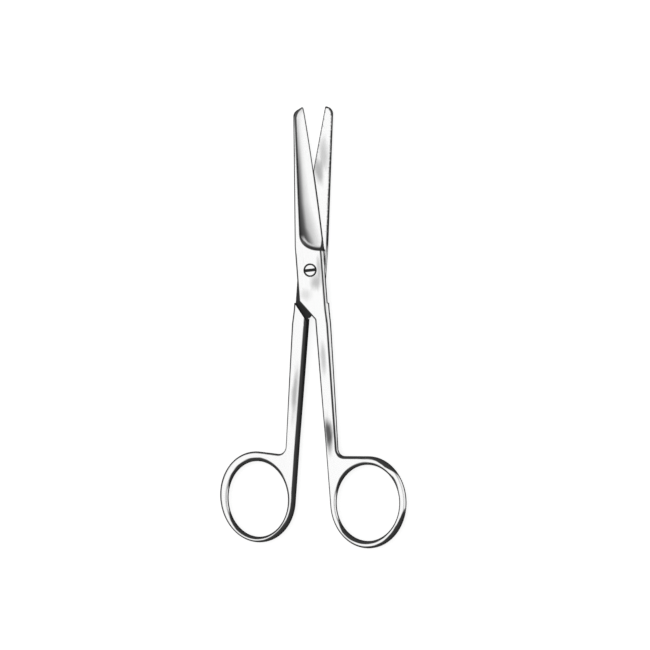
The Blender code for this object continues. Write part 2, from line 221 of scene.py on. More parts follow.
def grid_faces(rows: int, columns: int, start: int = 0, closed: bool = True) -> np.ndarray:
    """Four-sided faces of a grid of vertices that are numbered row by row.

    Args:
        rows, columns: size of the grid.
        start: number of its first vertex.
        closed: whether the last column joins the first.

    Returns:
        An array of four vertex numbers for each face.
    """
    last = columns if closed else columns - 1
    row, column = np.meshgrid(np.arange(rows - 1), np.arange(last), indexing="ij")
    here, ahead = row * columns + column, row * columns + (column + 1) % columns
    return start + np.stack([here, ahead, ahead + columns, here + columns], axis=-1).reshape(-1, 4)


def mesh_object(name: str, vertices: np.ndarray, *faces: np.ndarray) -> bpy.types.Object:
    """An object at the origin from arrays of vertices and of faces.

    Args:
        name: of the object and its mesh.
        vertices: three numbers for each.
        faces: arrays of vertex numbers, each array with its own number of corners.

    Returns:
        The object, in the scene.
    """
    mesh = bpy.data.meshes.new(name)
    mesh.from_pydata(vertices.tolist(), [], [face for array in faces for face in array.tolist()])
    mesh.update()
    made = bpy.data.objects.new(name, mesh)
    bpy.context.scene.collection.objects.link(made)
    return made


def lathe(name: str, profile: np.ndarray, steps: int, thread: Thread | None = None) -> bpy.types.Object:
    """A turned solid: point (r, z) of the profile at angle t is (r cos t, r sin t, z), less the thread.

    Args:
        name: of the object.
        profile: (radius, z) points from the lowest to the highest, without the two on the axis.
        steps: round the axis.
        thread: cut into the solid, or None.

    Returns:
        The closed solid.
    """
    angle = np.linspace(0.0, 2 * math.pi, steps, endpoint=False)
    radius, z = np.broadcast_to(profile[:, 0:1], (len(profile), steps)), profile[:, 1:2] + 0 * angle
    if thread is not None:
        radius = radius - thread.depth_at(angle, z)
    ring = np.stack([radius * np.cos(angle), radius * np.sin(angle), z], axis=-1).reshape(-1, 3)
    poles = np.array([[0.0, 0.0, profile[0, 1]], [0.0, 0.0, profile[-1, 1]]])
    low, high = len(ring), len(ring) + 1
    here, ahead = np.arange(steps), np.roll(np.arange(steps), -1)
    top = (len(profile) - 1) * steps
    floor_fan = np.column_stack([np.full(steps, low), ahead, here])
    top_fan = np.column_stack([np.full(steps, high), top + here, top + ahead])
    vertices = np.vstack([ring, poles])
    return mesh_object(name, vertices, grid_faces(len(profile), steps), floor_fan, top_fan)


def carved(blank: bpy.types.Object, cutters: list[bpy.types.Object]) -> bpy.types.Object:
    """The blank with the cutters' shapes taken out. The cutters are used up.

    Args:
        blank: closed solid.
        cutters: closed solids.

    Returns:
        The blank, with its new mesh.
    """
    for cutter in cutters:
        modifier = blank.modifiers.new(cutter.name, "BOOLEAN")
        modifier.operation, modifier.solver, modifier.object = "DIFFERENCE", "EXACT", cutter
    evaluated = blank.evaluated_get(bpy.context.evaluated_depsgraph_get())
    mesh = bpy.data.meshes.new_from_object(evaluated)
    blank.modifiers.clear()
    blank.data = mesh
    for cutter in cutters:
        bpy.data.objects.remove(cutter)
    return blank


def coordinates(mesh: bpy.types.Mesh) -> np.ndarray:
    """Reads a mesh's vertices.

    Args:
        mesh: any mesh.

    Returns:
        Three numbers for each vertex.
    """
    flat = np.zeros(len(mesh.vertices) * 3)
    mesh.vertices.foreach_get("co", flat)
    return flat.reshape(-1, 3)


def face_corners(mesh: bpy.types.Mesh) -> tuple[np.ndarray, np.ndarray]:
    """Smooths a mesh up to its sharp edges and reads the corners of its faces.

    Args:
        mesh: of a piece.

    Returns:
        For each corner, its vertex, and the slope of the smoothed surface there in degrees.
    """
    mesh.shade_smooth()
    mesh.set_sharp_from_angle(angle=SHARP_ANGLE)
    vertex = np.zeros(len(mesh.loops), dtype=np.int32)
    mesh.loops.foreach_get("vertex_index", vertex)
    normal = np.zeros(len(mesh.loops) * 3)
    mesh.corner_normals.foreach_get("vector", normal)
    slope = np.degrees(np.arccos(np.abs(normal.reshape(-1, 3)[:, 2]).clip(0.0, 1.0)))
    return vertex, slope


def add_mask(mesh: bpy.types.Mesh, name: str, values: np.ndarray) -> None:
    """Stores one number from 0 to 1 for each corner of each face, which the materials read by name."""
    mesh.attributes.new(name, "FLOAT", "CORNER").data.foreach_set("value", np.clip(values, 0.0, 1.0))


def smooth_step(values: np.ndarray, low: float | np.ndarray, high: float | np.ndarray) -> np.ndarray:
    """0 below low, 1 above high, and 3s² - 2s³ between."""
    share = np.clip((values - low) / (high - low), 0.0, 1.0)
    return share * share * (3 - 2 * share)


def read_off(table: Table, at: np.ndarray) -> np.ndarray:
    """Lengths off a table of two columns in millimetres, with straight lines between its rows."""
    return np.interp(at / MM, *np.array(table).T) * MM


# Sizes


@dataclass(frozen=True)
class JointSizes:
    """The crossing of the two halves."""

    width: float = 9.2 * MM
    thickness: float = 4.4 * MM
    lap_gap: float = 0.3 * MM
    lap_corner: float = 9.9 * MM
    lap_slant: float = math.radians(38.0)
    stop_gap: float = 0.7 * MM
    top: float = 8.0 * MM
    side_end: float = 13.4 * MM
    bottom: float = 18.0 * MM
    root_radius: float = 0.8 * MM
    rounding: float = 0.3 * MM


@dataclass(frozen=True)
class BladeSizes:
    """Ground faces, tips and edges, the same on both halves."""

    tip_thickness: float = 1.15 * MM
    edge_thickness: float = 0.15 * MM
    land_at_tip: float = 0.8 * MM
    land_at_base: float = 1.75 * MM
    hollow: float = 0.12 * MM
    runout_end: float = 6.15 * MM
    runout_height: float = 5.8 * MM
    runout_squareness: float = 0.87
    runout_fillet: float = 2.0 * MM
    tip_runout_length: float = 3.9 * MM
    tip_runout_height: float = 4.3 * MM
    tip_fillet: float = 4.0 * MM
    rim_end_drop: float = 0.2 * MM
    tip_fillet_lead: Pair = (-3.0 * MM, 1.0 * MM)
    cutting_corner_radius: float = 0.35 * MM
    spine_corner_radius: float = 2.4 * MM
    rim_rounding: float = 0.05 * MM
    inner_hollow: float = 0.04 * MM
    inner_hollow_start: float = 14.0 * MM
    inner_hollow_lead: float = 22.0 * MM
    inner_hollow_fade: Pair = (2.5 * MM, 10.0 * MM)


@dataclass(frozen=True)
class ShankSizes:
    """Shanks and finger rings, the same on both halves."""

    narrowing: float = 0.45 * MM
    lead: float = 5.1 * MM
    rounding: float = 0.7 * MM
    fillet: float = 2.4 * MM
    ring_thickness: float = 3.4 * MM
    ring_round_height: float = 1.3 * MM
    ring_round_share: float = 0.42


@dataclass(frozen=True)
class Fineness:
    """How closely the curves and faces are divided."""

    round_steps: int = 9
    corner_steps: int = 16
    oval_steps: int = 260
    belly_steps: int = 40
    side_step: float = 0.6 * MM
    crossing_step: float = 0.07 * MM
    crossing_reach: float = 1.6 * MM
    tip_rungs: int = 40
    land_rungs: int = 110
    end_rungs: int = 70
    wall_shares: tuple[float, ...] = (0.3, 0.36, 0.42, 0.48, 0.55, 0.65, 0.86, 0.9, 0.94)
    fillet_rows: tuple[float, ...] = (
        0.02, 0.05, 0.09, 0.14, 0.21, 0.3, 0.42, 0.57, 0.75, 1.0, 1.3, 1.65, 2.1
    )
    rim_rows: tuple[float, ...] = (-0.05, -0.12, -0.2, -0.3, -0.42)
    border_rows: tuple[float, ...] = (0.06, 0.13, 0.21, 0.3, 0.42, 0.58, 0.78)
    row_overlap: float = 0.96
    rim_row_overlap: float = 0.97
    line_margin: float = 0.05 * MM
    rim_margin: float = 0.03 * MM
    border_margin: float = 0.2 * MM
    step_margin: float = 0.2 * MM
    hollow_margin: float = 1.0 * MM
    mask_edge: float = 0.08 * MM
    face_step: float = 0.55 * MM
    turn_steps: int = 128
    thread_steps: int = 12
    head_edge_points: int = 7


@dataclass(frozen=True)
class Thread:
    """Screw thread: a groove whose depth is a triangle wave of z / pitch - t / 2 pi."""

    pitch: float = 0.35 * MM
    depth: float = 0.1 * MM
    low: float = -1.9 * MM
    high: float = -0.1 * MM
    fade: float = 0.15 * MM

    def depth_at(self, angle: np.ndarray, z: np.ndarray) -> np.ndarray:
        """Depth of the groove, which fades out at both ends of the thread.

        Args:
            angle: round the axis, in radians.
            z: height.

        Returns:
            One depth for each angle and height.
        """
        turns = z / self.pitch - angle / (2 * math.pi)
        wave = np.abs(2 * (turns - np.floor(turns)) - 1)
        start = smooth_step(z, self.low, self.low + self.fade)
        end = smooth_step(-z, -self.high, self.fade - self.high)
        return self.depth * wave * start * end


@dataclass(frozen=True)
class ScrewSizes:
    """The pivot screw, and the room round it in the halves."""

    head_radius: float = 2.1 * MM
    head_height: float = 1.1 * MM
    head_edge: float = 0.12 * MM
    head_sunk: float = 0.04 * MM
    head_clearance: float = 0.08 * MM
    seat_gap: float = 0.1 * MM
    shoulder_radius: float = 1.6 * MM
    running_clearance: float = 0.06 * MM
    thread_radius: float = 1.25 * MM
    thread_clearance: float = 0.1 * MM
    thread_chamfer: float = 0.25 * MM
    slot_width: float = 0.85 * MM
    slot_depth: float = 0.65 * MM
    slot_edge: float = 0.07 * MM
    slot_turn: float = math.radians(6.0)
    # Painted shade in the slot, between these shares of its depth
    slot_dark: Pair = (0.3, 1.1)
    brim_insets: tuple[float, ...] = (0.26, 0.34, 0.38, 0.42, 0.46, 0.5, 0.54, 1.0)
    # Painted shade on a line round the head's brim, and on steep slopes
    brim_line: Pair = (0.5 * MM, 0.38 * MM)
    dark_slopes: Pair = (20.0, 50.0)
    bore_edge: float = 0.06 * MM
    thread: Thread = field(default_factory=Thread)


@dataclass(frozen=True)
class PaintedReflections:
    """Painted reflections on the forgings: dark lines, dark bands and light strips painted into the steel's
    colour.

    Tables give a place along the half and the value there, both in millimetres. Where a comment doesn't say
    otherwise, a pair gives where a reflection starts or stops to change, in metres or degrees.
    """

    # Softness of every painted line, a distance outside the forging and one past its whole width
    soft: float = 0.08 * MM
    outside: float = 1.0 * MM
    far: float = 9.0 * MM
    # Widths of the painted dark lines beside the outline, and the lengths at the tip where they change
    line: float = 0.5 * MM
    edge_line: float = 0.3 * MM
    spine_line: float = 0.42 * MM
    spine_tip_line: float = 0.6 * MM
    spine_tip_length: float = 3.0 * MM
    tip_length: float = 0.8 * MM
    curl_line: Table = ((7.3, 0.95), (8.6, 0.6), (9.9, 0.3))
    # From a shank's inner side to its middle, and the lower half's painted line at the lap's corner and at
    # the ring
    shank_middle: float = 2.1 * MM
    lower_shank_line: Pair = (0.85 * MM, 1.25 * MM)
    # The lower half's wall where the upper half crosses it, with a thinner painted line and painted light:
    # start, whole, whole and end
    crossing: tuple[float, float, float, float] = (-2.0 * MM, -1.0 * MM, 6.0 * MM, 9.5 * MM)
    crossing_thinner: float = 0.35 * MM
    crossing_light: float = 0.9
    # The upper half's painted light strip: its width at the joint and on the shank, the painted line beside
    # it, and its ends
    strip_inset: Pair = (0.28 * MM, 0.14 * MM)
    strip_line: float = 0.6 * MM
    strip_start: Pair = (0.2 * MM, 1.5 * MM)
    strip_fade: float = 0.6 * MM
    # Below the top of the ring, where its own tables of painted lines start to hold, and over which its
    # slopes get less painted shade
    ring_start: Pair = (-0.8 * MM, 0.4 * MM)
    ring_lead: float = 6.0 * MM
    # The painted dark line along the ground face's rim: where it fades out, how much wider it gets, and a
    # painted light line inside the runout
    rim_line: Pair = (0.1 * MM, 0.3 * MM)
    rim_more: Table = ((15.0, 0.0), (28.0, 0.1), (50.0, 0.16), (52.5, 0.4))
    rim_at_runout: float = 0.65 * MM
    rim_strength: float = 0.95
    runout_glint: Pair = (1.15 * MM, 1.45 * MM)
    # The ground face at the tip, which the painted shade leaves bright: from the tip back, and from the rim
    # in
    tip_lead: Pair = (6.0 * MM, 3.0 * MM)
    tip_rim: Pair = (0.1 * MM, 0.4 * MM)
    tip_strength: float = 0.9
    # Height above which walls get painted light: at the joint and its rise to the ring, and beside the other
    # half
    wall_low: Pair = (-0.1 * MM, 0.9 * MM)
    wall_soft: float = 0.12 * MM
    wall_beside_rear: Table = ((-2.5, 1.85), (1.5, 1.2))
    wall_beside_rear_end: float = 1.2 * MM
    # Place along the lower half past which the height is the second number
    wall_beside_front: Pair = (-2.0 * MM, -1.1 * MM)
    wall_strength: float = 0.97
    # The parting side: past the edge of the other lap, where it gets painted shade, from the start of the
    # hollow, and in height
    lap_edge: Pair = (-0.8 * MM, -0.25 * MM)
    inner_lead: float = 4.0 * MM
    inner_margin: float = 0.008 * MM
    outer_margin: float = 0.02 * MM
    # A painted highlight at the lower half's lap root, its length a multiple of its width
    glint: Pair = (0.12 * MM, 0.22 * MM)
    glint_length: float = 4.0
    glint_strength: float = 0.6
    glint_slope: float = 45.0
    # Slopes that get painted shade, what the ring and the ground face take off them, and the limits of each
    # mask
    dark_slopes: Pair = (14.0, 44.0)
    ring_slope: float = 14.0
    ground_slope: float = 10.0
    facing_slope: float = 20.0
    shade_slope: float = 60.0
    line_slope: float = 75.0

    def past(self, distance: np.ndarray) -> np.ndarray:
        """0 before the end of a line, 1 past it, with a soft change at the end itself."""
        return smooth_step(distance, -self.soft, self.soft)


@dataclass(frozen=True)
class ShadeStation:
    """The ground face's painted shading at one place along it: a dark core beside the land, and a thinning
    haze.

    Core and haze are shares of white. The first place is in millimetres from the pivot, and the others are in
    millimetres from the land.
    """

    y: float
    core: float
    core_start: float
    core_end: float
    haze: float
    haze_end: float


# Painted shading of the ground face, standing in for its reflection, at places along the blade
GROUND_SHADE = (
    ShadeStation(9.0, core=0.32, core_start=2.0, core_end=5.2, haze=0.5, haze_end=7.2),
    ShadeStation(14.0, core=0.3, core_start=1.2, core_end=2.6, haze=0.45, haze_end=6.0),
    ShadeStation(22.0, core=0.34, core_start=0.4, core_end=2.1, haze=0.33, haze_end=4.0),
    ShadeStation(34.0, core=0.32, core_start=0.2, core_end=1.8, haze=0.22, haze_end=2.6),
    ShadeStation(46.0, core=0.05, core_start=0.2, core_end=1.4, haze=0.12, haze_end=2.0),
    ShadeStation(53.0, core=0.0, core_start=0.2, core_end=1.2, haze=0.05, haze_end=1.5),
)
SHADE_GAMMA = 2.2
RING_TOP = 2.5 * math.pi
JOINT = JointSizes()
BLADE = BladeSizes()
SHANK = ShankSizes()
SCREW = ScrewSizes()
FINE = Fineness()
PAINTED_REFLECTION = PaintedReflections()


def triangulate(
    loops: list[np.ndarray], lines: list[np.ndarray], points: np.ndarray
) -> tuple[np.ndarray, np.ndarray]:
    """Delaunay triangles between closed loops, that also follow open lines and use loose points.

    Args:
        loops: the outer loop, then those round holes.
        lines: open lines inside.
        points: loose points inside.

    Returns:
        The vertices beyond those of the loops, and triangles that number the loops' vertices first.
    """
    edges, start = [], 0
    for chain, closed in [(loop, True) for loop in loops] + [(line, False) for line in lines]:
        index = np.arange(len(chain) if closed else len(chain) - 1)
        edges.append(start + np.column_stack([index, (index + 1) % len(chain)]))
        start += len(chain)
    given = np.vstack([*loops, *lines, points]) / MM
    made, _, faces, origins, _, _ = delaunay_2d_cdt(
        [Vector(point) for point in given.tolist()], np.vstack(edges).tolist(), [], 0, WELD
    )
    positions = np.array([point[:] for point in made]) * MM
    triangles = np.array(faces)
    corners = positions[triangles]
    centres = corners.mean(axis=1)
    keep = inside(centres, loops[0])
    for hole in loops[1:]:
        keep &= ~inside(centres, hole)
    first, second = corners[:, 1] - corners[:, 0], corners[:, 2] - corners[:, 0]
    clockwise = first[:, 0] * second[:, 1] < first[:, 1] * second[:, 0]
    triangles[clockwise] = triangles[clockwise][:, ::-1]
    border = sum(len(loop) for loop in loops)
    number = np.array([min(sources, default=border) for sources in origins])
    fresh = number >= border
    number[fresh] = border + np.arange(fresh.sum())
    return positions[fresh], number[triangles[keep]]


def grid_points(low: Pair | np.ndarray, high: Pair | np.ndarray, step: float) -> np.ndarray:
    """Points of a triangular grid: rows √3 / 2 steps apart, every other one moved by half a step.

    Args:
        low, high: corners of the area.
        step: between neighbours.

    Returns:
        The points, row by row.
    """
    x = np.arange(low[0], high[0], step)
    y = np.arange(low[1], high[1], step * math.sqrt(3) / 2)
    grid_x, grid_y = np.meshgrid(x, y)
    grid_x = grid_x + step / 2 * (np.arange(len(y)) % 2)[:, None]
    return np.column_stack([grid_x.ravel(), grid_y.ravel()])


# Pieces of the scissors


@dataclass(frozen=True)
class RingBands:
    """Width in millimetres of the painted dark lines round a finger ring, and how much painted light its
    walls get, by hour.
    """

    ring: Table
    ring_light: Table
    eye: Table
    eye_light: Table


@dataclass(frozen=True)
class PaintedEdgeBand:
    """The painted dark line beside the outline at each point: its start and end, and the painted light beside
    it.
    """

    start: np.ndarray
    end: np.ndarray
    light: np.ndarray
    light_end: np.ndarray


@dataclass(frozen=True)
class Survey:
    """How each vertex of a half lies to its outline, its eye and its ground face."""

    flat: np.ndarray
    z: np.ndarray
    from_border: np.ndarray
    from_eye: np.ndarray
    from_rim: np.ndarray
    within: np.ndarray
    runout: np.ndarray
    outer_side: np.ndarray

    @property
    def y(self) -> np.ndarray:
        """Places along the half."""
        return self.flat[:, 1]


@dataclass(frozen=True)
class ForgedHalf:
    """One forged half: blade, lap, shank and finger ring, in its own frame until it is laid down."""

    piece: str
    node: str
    body: Body
    turned_over: bool
    rest_turn: float
    tip_reach: float
    tip_edge_x: float
    tip_spine_x: float
    tip_drop: float
    edge_belly: float
    shank_inner_x: float
    shank_width: float
    ring_reach: float
    ring_lean: float
    ring_top_fall: float
    eye_width: float
    eye_height: float
    eye_lean: float
    band_inner: float
    band_outer: float
    band_top: float
    band_bottom: float
    bands: RingBands

    @property
    def outer_axes(self) -> np.ndarray:
        """Half the width and height of the ring's outside."""
        width = self.eye_width + self.band_inner + self.band_outer
        return np.array([width / 2, (self.eye_height + self.band_top + self.band_bottom) / 2])

    @property
    def shank_end(self) -> float:
        """Pivot to where the shank has reached the ring's thickness."""
        return self.ring_reach - self.outer_axes[1] - SHANK.lead

    def ovals(self) -> tuple[np.ndarray, np.ndarray, np.ndarray, np.ndarray]:
        """The two ovals of the ring.

        Returns:
            Centre and semi-axes of the ring's outside, then of its eye.
        """
        outer, eye = self.outer_axes, np.array([self.eye_width / 2, self.eye_height / 2])
        cos, sin = math.cos(self.ring_lean), math.sin(self.ring_lean)
        centre = np.array([self.shank_inner_x + math.hypot(outer[0] * cos, outer[1] * sin), -self.ring_reach])
        shift_x, shift_y = (self.band_inner - self.band_outer) / 2, (self.band_bottom - self.band_top) / 2
        shift = np.array([cos * shift_x + sin * shift_y, cos * shift_y - sin * shift_x])
        return centre, outer, centre + shift, eye

    def shank_outer_x(self, y: float) -> float:
        """Outer edge of the shank: a straight line from the joint to the ring."""
        share = (-y - JOINT.bottom) / (self.shank_end - JOINT.bottom)
        return self.shank_inner_x + self.shank_width - share * SHANK.narrowing

    def ring_corner(self, top_point: np.ndarray) -> np.ndarray:
        """Where the outer edge of the shank, run on, meets the straight top of the ring.

        Args:
            top_point: where that top meets the ring's oval.

        Returns:
            The crossing of the two lines.
        """
        slope = SHANK.narrowing / (self.shank_end - JOINT.bottom)
        fall, x_at_zero = math.tan(self.ring_top_fall), self.shank_outer_x(0.0)
        y = (top_point[1] - fall * (x_at_zero - top_point[0])) / (1 + fall * slope)
        return np.array([x_at_zero + slope * y, y])

    def edge_x(self, y: np.ndarray | float) -> np.ndarray | float:
        """Cutting edge: a straight line plus 4 b s (1 - s), with s the share of its length and b the bow.

        Args:
            y: places along the half.

        Returns:
            The edge's x at each.
        """
        share = (y - JOINT.top) / (self.tip_reach - JOINT.top)
        straight = JOINT.width / 2 + share * (self.tip_edge_x - JOINT.width / 2)
        return straight + 4 * self.edge_belly * share * (1 - share)

    def spine_x(self, y: np.ndarray | float) -> np.ndarray | float:
        """Spine: a straight line from the joint to the tip."""
        share = (y - JOINT.top) / (self.tip_reach - self.tip_drop - JOINT.top)
        return -JOINT.width / 2 + share * (self.tip_spine_x + JOINT.width / 2)

    def lap_root(self) -> np.ndarray:
        """Where the lap's slanted step meets the inner side of the shank."""
        inner = self.shank_inner_x
        return np.array([inner, -JOINT.lap_corner - (JOINT.width / 2 + inner) / math.tan(JOINT.lap_slant)])

    def outline_top(self) -> np.ndarray:
        """Where the ring's straight top meets its oval."""
        centre, outer, _, _ = self.ovals()
        return oval_points(centre, outer, self.ring_lean, np.array([RING_TOP - self.ring_top_fall]))[0]

    def outline(self) -> tuple[np.ndarray, np.ndarray]:
        """The outline, anticlockwise from the top of the ring.

        Returns:
            Its points, and the width of the edge rounding at each.
        """
        centre, outer, eye_centre, eye = self.ovals()
        angles = np.linspace(math.pi, RING_TOP - self.ring_top_fall, FINE.oval_steps)
        oval = oval_points(centre, outer, self.ring_lean, angles)
        bands = np.linalg.norm(oval - oval_points(eye_centre, eye, self.eye_lean, angles), axis=1)
        side, inner, low = JOINT.width / 2, self.shank_inner_x, -self.shank_end
        belly_y = np.linspace(JOINT.top, self.tip_reach, FINE.belly_steps + 1)
        edge = np.column_stack([self.edge_x(belly_y), belly_y])
        tip, spine_corner = edge[-1], np.array([self.tip_spine_x, self.tip_reach - self.tip_drop])
        joint_left, lap_corner = np.array([[-side, JOINT.top], [-side, -JOINT.lap_corner]])
        joint_right = np.array([self.shank_outer_x(-JOINT.bottom), -JOINT.bottom])
        steps = FINE.corner_steps
        ring_top = round_corner(oval[-1], self.ring_corner(oval[-1]), joint_right, SHANK.fillet, steps)
        runs = [
            (ring_top, SHANK.rounding),
            ([[self.shank_outer_x(low), low]], SHANK.rounding),
            ([joint_right, [side, -JOINT.side_end]], JOINT.rounding),
            (edge[:-1], JOINT.rounding),
            (round_corner(edge[-2], tip, spine_corner, BLADE.cutting_corner_radius, steps), JOINT.rounding),
            (round_corner(tip, spine_corner, joint_left, BLADE.spine_corner_radius, steps), JOINT.rounding),
            ([joint_left, lap_corner], JOINT.rounding),
            (round_corner(lap_corner, self.lap_root(), oval[0], JOINT.root_radius, steps), JOINT.rounding),
            ([[inner, -JOINT.bottom]], JOINT.rounding),
            ([[inner, low]], SHANK.rounding),
            (oval, SHANK.ring_round_share * bands),
        ]
        points = np.concatenate([np.asarray(run, float) for run, _ in runs])
        rounding = np.concatenate([np.broadcast_to(width, len(run)) for run, width in runs])
        points, rounding = densify(points, rounding, FINE.side_step)
        rim_ends = [[self.edge_x(BLADE.runout_end), BLADE.runout_end], [tip[0], tip[1] - BLADE.rim_end_drop]]
        away = np.linalg.norm(points[:, None] - np.array(rim_ends), axis=2).min(axis=1)
        near = away < FINE.crossing_reach
        return densify(points, rounding, np.where(near, FINE.crossing_step, FINE.side_step))

    def eye(self) -> tuple[np.ndarray, np.ndarray]:
        """The ring's eye, clockwise.

        Returns:
            Its points, and the width of the edge rounding at each.
        """
        centre, outer, eye_centre, eye = self.ovals()
        angles = np.linspace(2 * math.pi, 0.0, FINE.oval_steps, endpoint=False)
        points = oval_points(eye_centre, eye, self.eye_lean, angles)
        bands = np.linalg.norm(points - oval_points(centre, outer, self.ring_lean, angles), axis=1)
        return points, SHANK.ring_round_share * bands

    def height(self, y: np.ndarray) -> np.ndarray:
        """Outer face above the parting plane: flat at the joint and the ring, straight tapers between.

        Args:
            y: places along the half.

        Returns:
            The height at each.
        """
        knots = [-self.shank_end, -JOINT.bottom, JOINT.top, self.tip_reach]
        tip = JOINT.lap_gap / 2 + BLADE.tip_thickness
        joint = JOINT.thickness / 2
        return np.interp(y, knots, [SHANK.ring_thickness / 2, joint, joint, tip])

    def round_depth(self, y: np.ndarray, rounding: np.ndarray) -> np.ndarray:
        """How deep the edge rounding goes: as deep as it is wide, and deeper on the ring."""
        share = np.clip((-y - JOINT.bottom) / (self.shank_end - JOINT.bottom), 0.0, 1.0)
        return rounding + share**3 * np.clip(SHANK.ring_round_height - rounding, 0.0, None)

    def ground_rim(self) -> tuple[np.ndarray, np.ndarray]:
        """Rim of the ground face: an arc at the tip, a line beside the land, a squarish arc at the joint.

        Returns:
            The rim from the tip to the joint, and a closed loop round the ground face.
        """
        clear = JOINT.rounding + 2 * BLADE.cutting_corner_radius
        start, end = self.tip_reach - BLADE.tip_runout_length, BLADE.runout_end + BLADE.runout_height

        def rim_x(y: np.ndarray | float) -> np.ndarray | float:
            """The rim beside the land, at the places y."""
            share = np.clip((y - end) / (start - end), 0.0, 1.0)
            return self.spine_x(y) + BLADE.land_at_base + share * (BLADE.land_at_tip - BLADE.land_at_base)

        turn = np.linspace(math.pi / 2, 0.0, FINE.tip_rungs, endpoint=False)
        foot = np.array([self.edge_x(start) + clear, start])
        width, height = foot[0] - rim_x(start), BLADE.tip_runout_height
        arc = np.column_stack([-width * np.cos(turn), height * np.sin(turn)])
        y = np.linspace(start, end, FINE.land_rungs, endpoint=False)
        beside_land = np.column_stack([rim_x(y), y])
        turn = np.linspace(0.0, math.pi / 2, FINE.end_rungs + 1)
        last = np.array([self.edge_x(end) + clear, end])
        across, along = np.stack([np.cos(turn), np.sin(turn)]).clip(0.0) ** BLADE.runout_squareness
        runout = last - np.column_stack([(last[0] - rim_x(end)) * across, BLADE.runout_height * along])
        rim = np.vstack([foot + arc, beside_land, runout])
        feet = np.column_stack([self.edge_x(y[::-1]) + clear, y[::-1]])
        return rim, np.vstack([rim, last, feet, foot])

    def ground(self, points: np.ndarray) -> tuple[np.ndarray, np.ndarray]:
        """The ground face: a straight fall from land to edge and a hollow of 4 h s (1 - s), with a circular
        fillet up to the rim.

        Args:
            points: on the plane.

        Returns:
            How far the face lies below the outer face, and a mask of the ground area.
        """
        x, y = points.T
        rim, region = self.ground_rim()
        top = self.height(y)
        land = self.spine_x(y) + BLADE.land_at_tip
        share = np.clip((x - land) / (self.edge_x(y) - land), 0.0, 1.0)
        straight = (top - JOINT.lap_gap / 2 - BLADE.edge_thickness) * share
        fall = straight + 4 * BLADE.hollow * share * (1 - share)
        start, lead = self.tip_reach - BLADE.tip_runout_length, BLADE.tip_fillet_lead
        toward_tip = smooth_step(y, start + lead[0], start + lead[1])
        fillet = BLADE.runout_fillet + (BLADE.tip_fillet - BLADE.runout_fillet) * toward_tip
        depth = np.minimum(fall, fillet)
        distance = distance_to_line(points, rim)
        soft = np.sqrt(distance**2 + BLADE.rim_rounding**2) - BLADE.rim_rounding
        rise = np.clip(np.sqrt(2 * fillet * depth - depth**2) - soft, 0.0, fillet)
        drop = fall - fillet + np.sqrt(fillet**2 - rise**2)
        within = inside(points, region)
        return drop.clip(0.0) * within, smooth_step(distance, 0.0, FINE.mask_edge) * within

    def wall(self, points: np.ndarray, rounding: np.ndarray) -> np.ndarray:
        """Rows of vertices round an outline: a quarter of an ellipse at each edge, straight between.

        Args:
            points: the outline.
            rounding: width of the edge rounding at each point.

        Returns:
            An array of rows from the lower face to the outer one.
        """
        depth = self.round_depth(points[:, 1], rounding)
        turns = np.linspace(0.0, math.pi / 2, FINE.round_steps + 1)
        rows = []
        for side in (-1, 1):
            for turn in turns[::side]:
                flat = inset(points, rounding * (1 - math.cos(turn)))
                z = self.height(flat[:, 1]) - depth * (1 - math.sin(turn))
                rows.append(np.column_stack([flat, side * z]))
        for row in rows[len(turns) :]:
            row[:, 2] = np.minimum(row[:, 2], self.height(row[:, 1]) - self.ground(row[:, :2])[0])
        low, high = rows[len(turns) - 1], rows[len(turns)]
        between = [low + share * (high - low) for share in FINE.wall_shares]
        return np.stack(rows[: len(turns)] + between + rows[len(turns) :])

    def blank(self) -> bpy.types.Object:
        """The half before the lap is milled and the hole is bored.

        Returns:
            The closed solid.
        """
        walls = [self.wall(*self.outline()), self.wall(*self.eye())]
        starts = [0, walls[0].shape[0] * walls[0].shape[1]]
        vertices = [wall.reshape(-1, 3) for wall in walls]
        faces = [grid_faces(wall.shape[0], wall.shape[1], start) for wall, start in zip(walls, starts)]
        count = sum(len(part) for part in vertices)
        for side in (1, -1):
            row = -1 if side > 0 else 0
            loops = [wall[row, :, :2] for wall in walls]
            lines, points = self.face_points(loops, ground=side > 0)
            extra, triangles = triangulate(loops, lines, points)
            top = self.height(extra[:, 1]) - (self.ground(extra)[0] if side > 0 else 0.0)
            vertices.append(np.column_stack([extra, side * top]))
            border = [
                start + (row % wall.shape[0]) * wall.shape[1] + np.arange(wall.shape[1])
                for wall, start in zip(walls, starts)
            ]
            number = np.concatenate([*border, count + np.arange(len(extra))])
            faces.append(number[triangles][:, ::side])
            count += len(extra)
        return mesh_object(self.piece, np.vstack(vertices), *faces)

    def face_points(self, loops: list[np.ndarray], ground: bool) -> tuple[list[np.ndarray], np.ndarray]:
        """Lines and points that the triangles of one face follow.

        Args:
            loops: border of the face, then of the eye.
            ground: whether the ground face is on this side.

        Returns:
            Lines where the slope changes, with the rim of the ground face, and loose points.
        """

        def clear(points: np.ndarray, margin: float) -> np.ndarray:
            """Whether each point is on the face and further than the margin from both loops."""
            away = np.minimum(*[distance_to_loop(points, loop) for loop in loops]) > margin
            return inside(points, loops[0]) & ~inside(points, loops[1]) & away

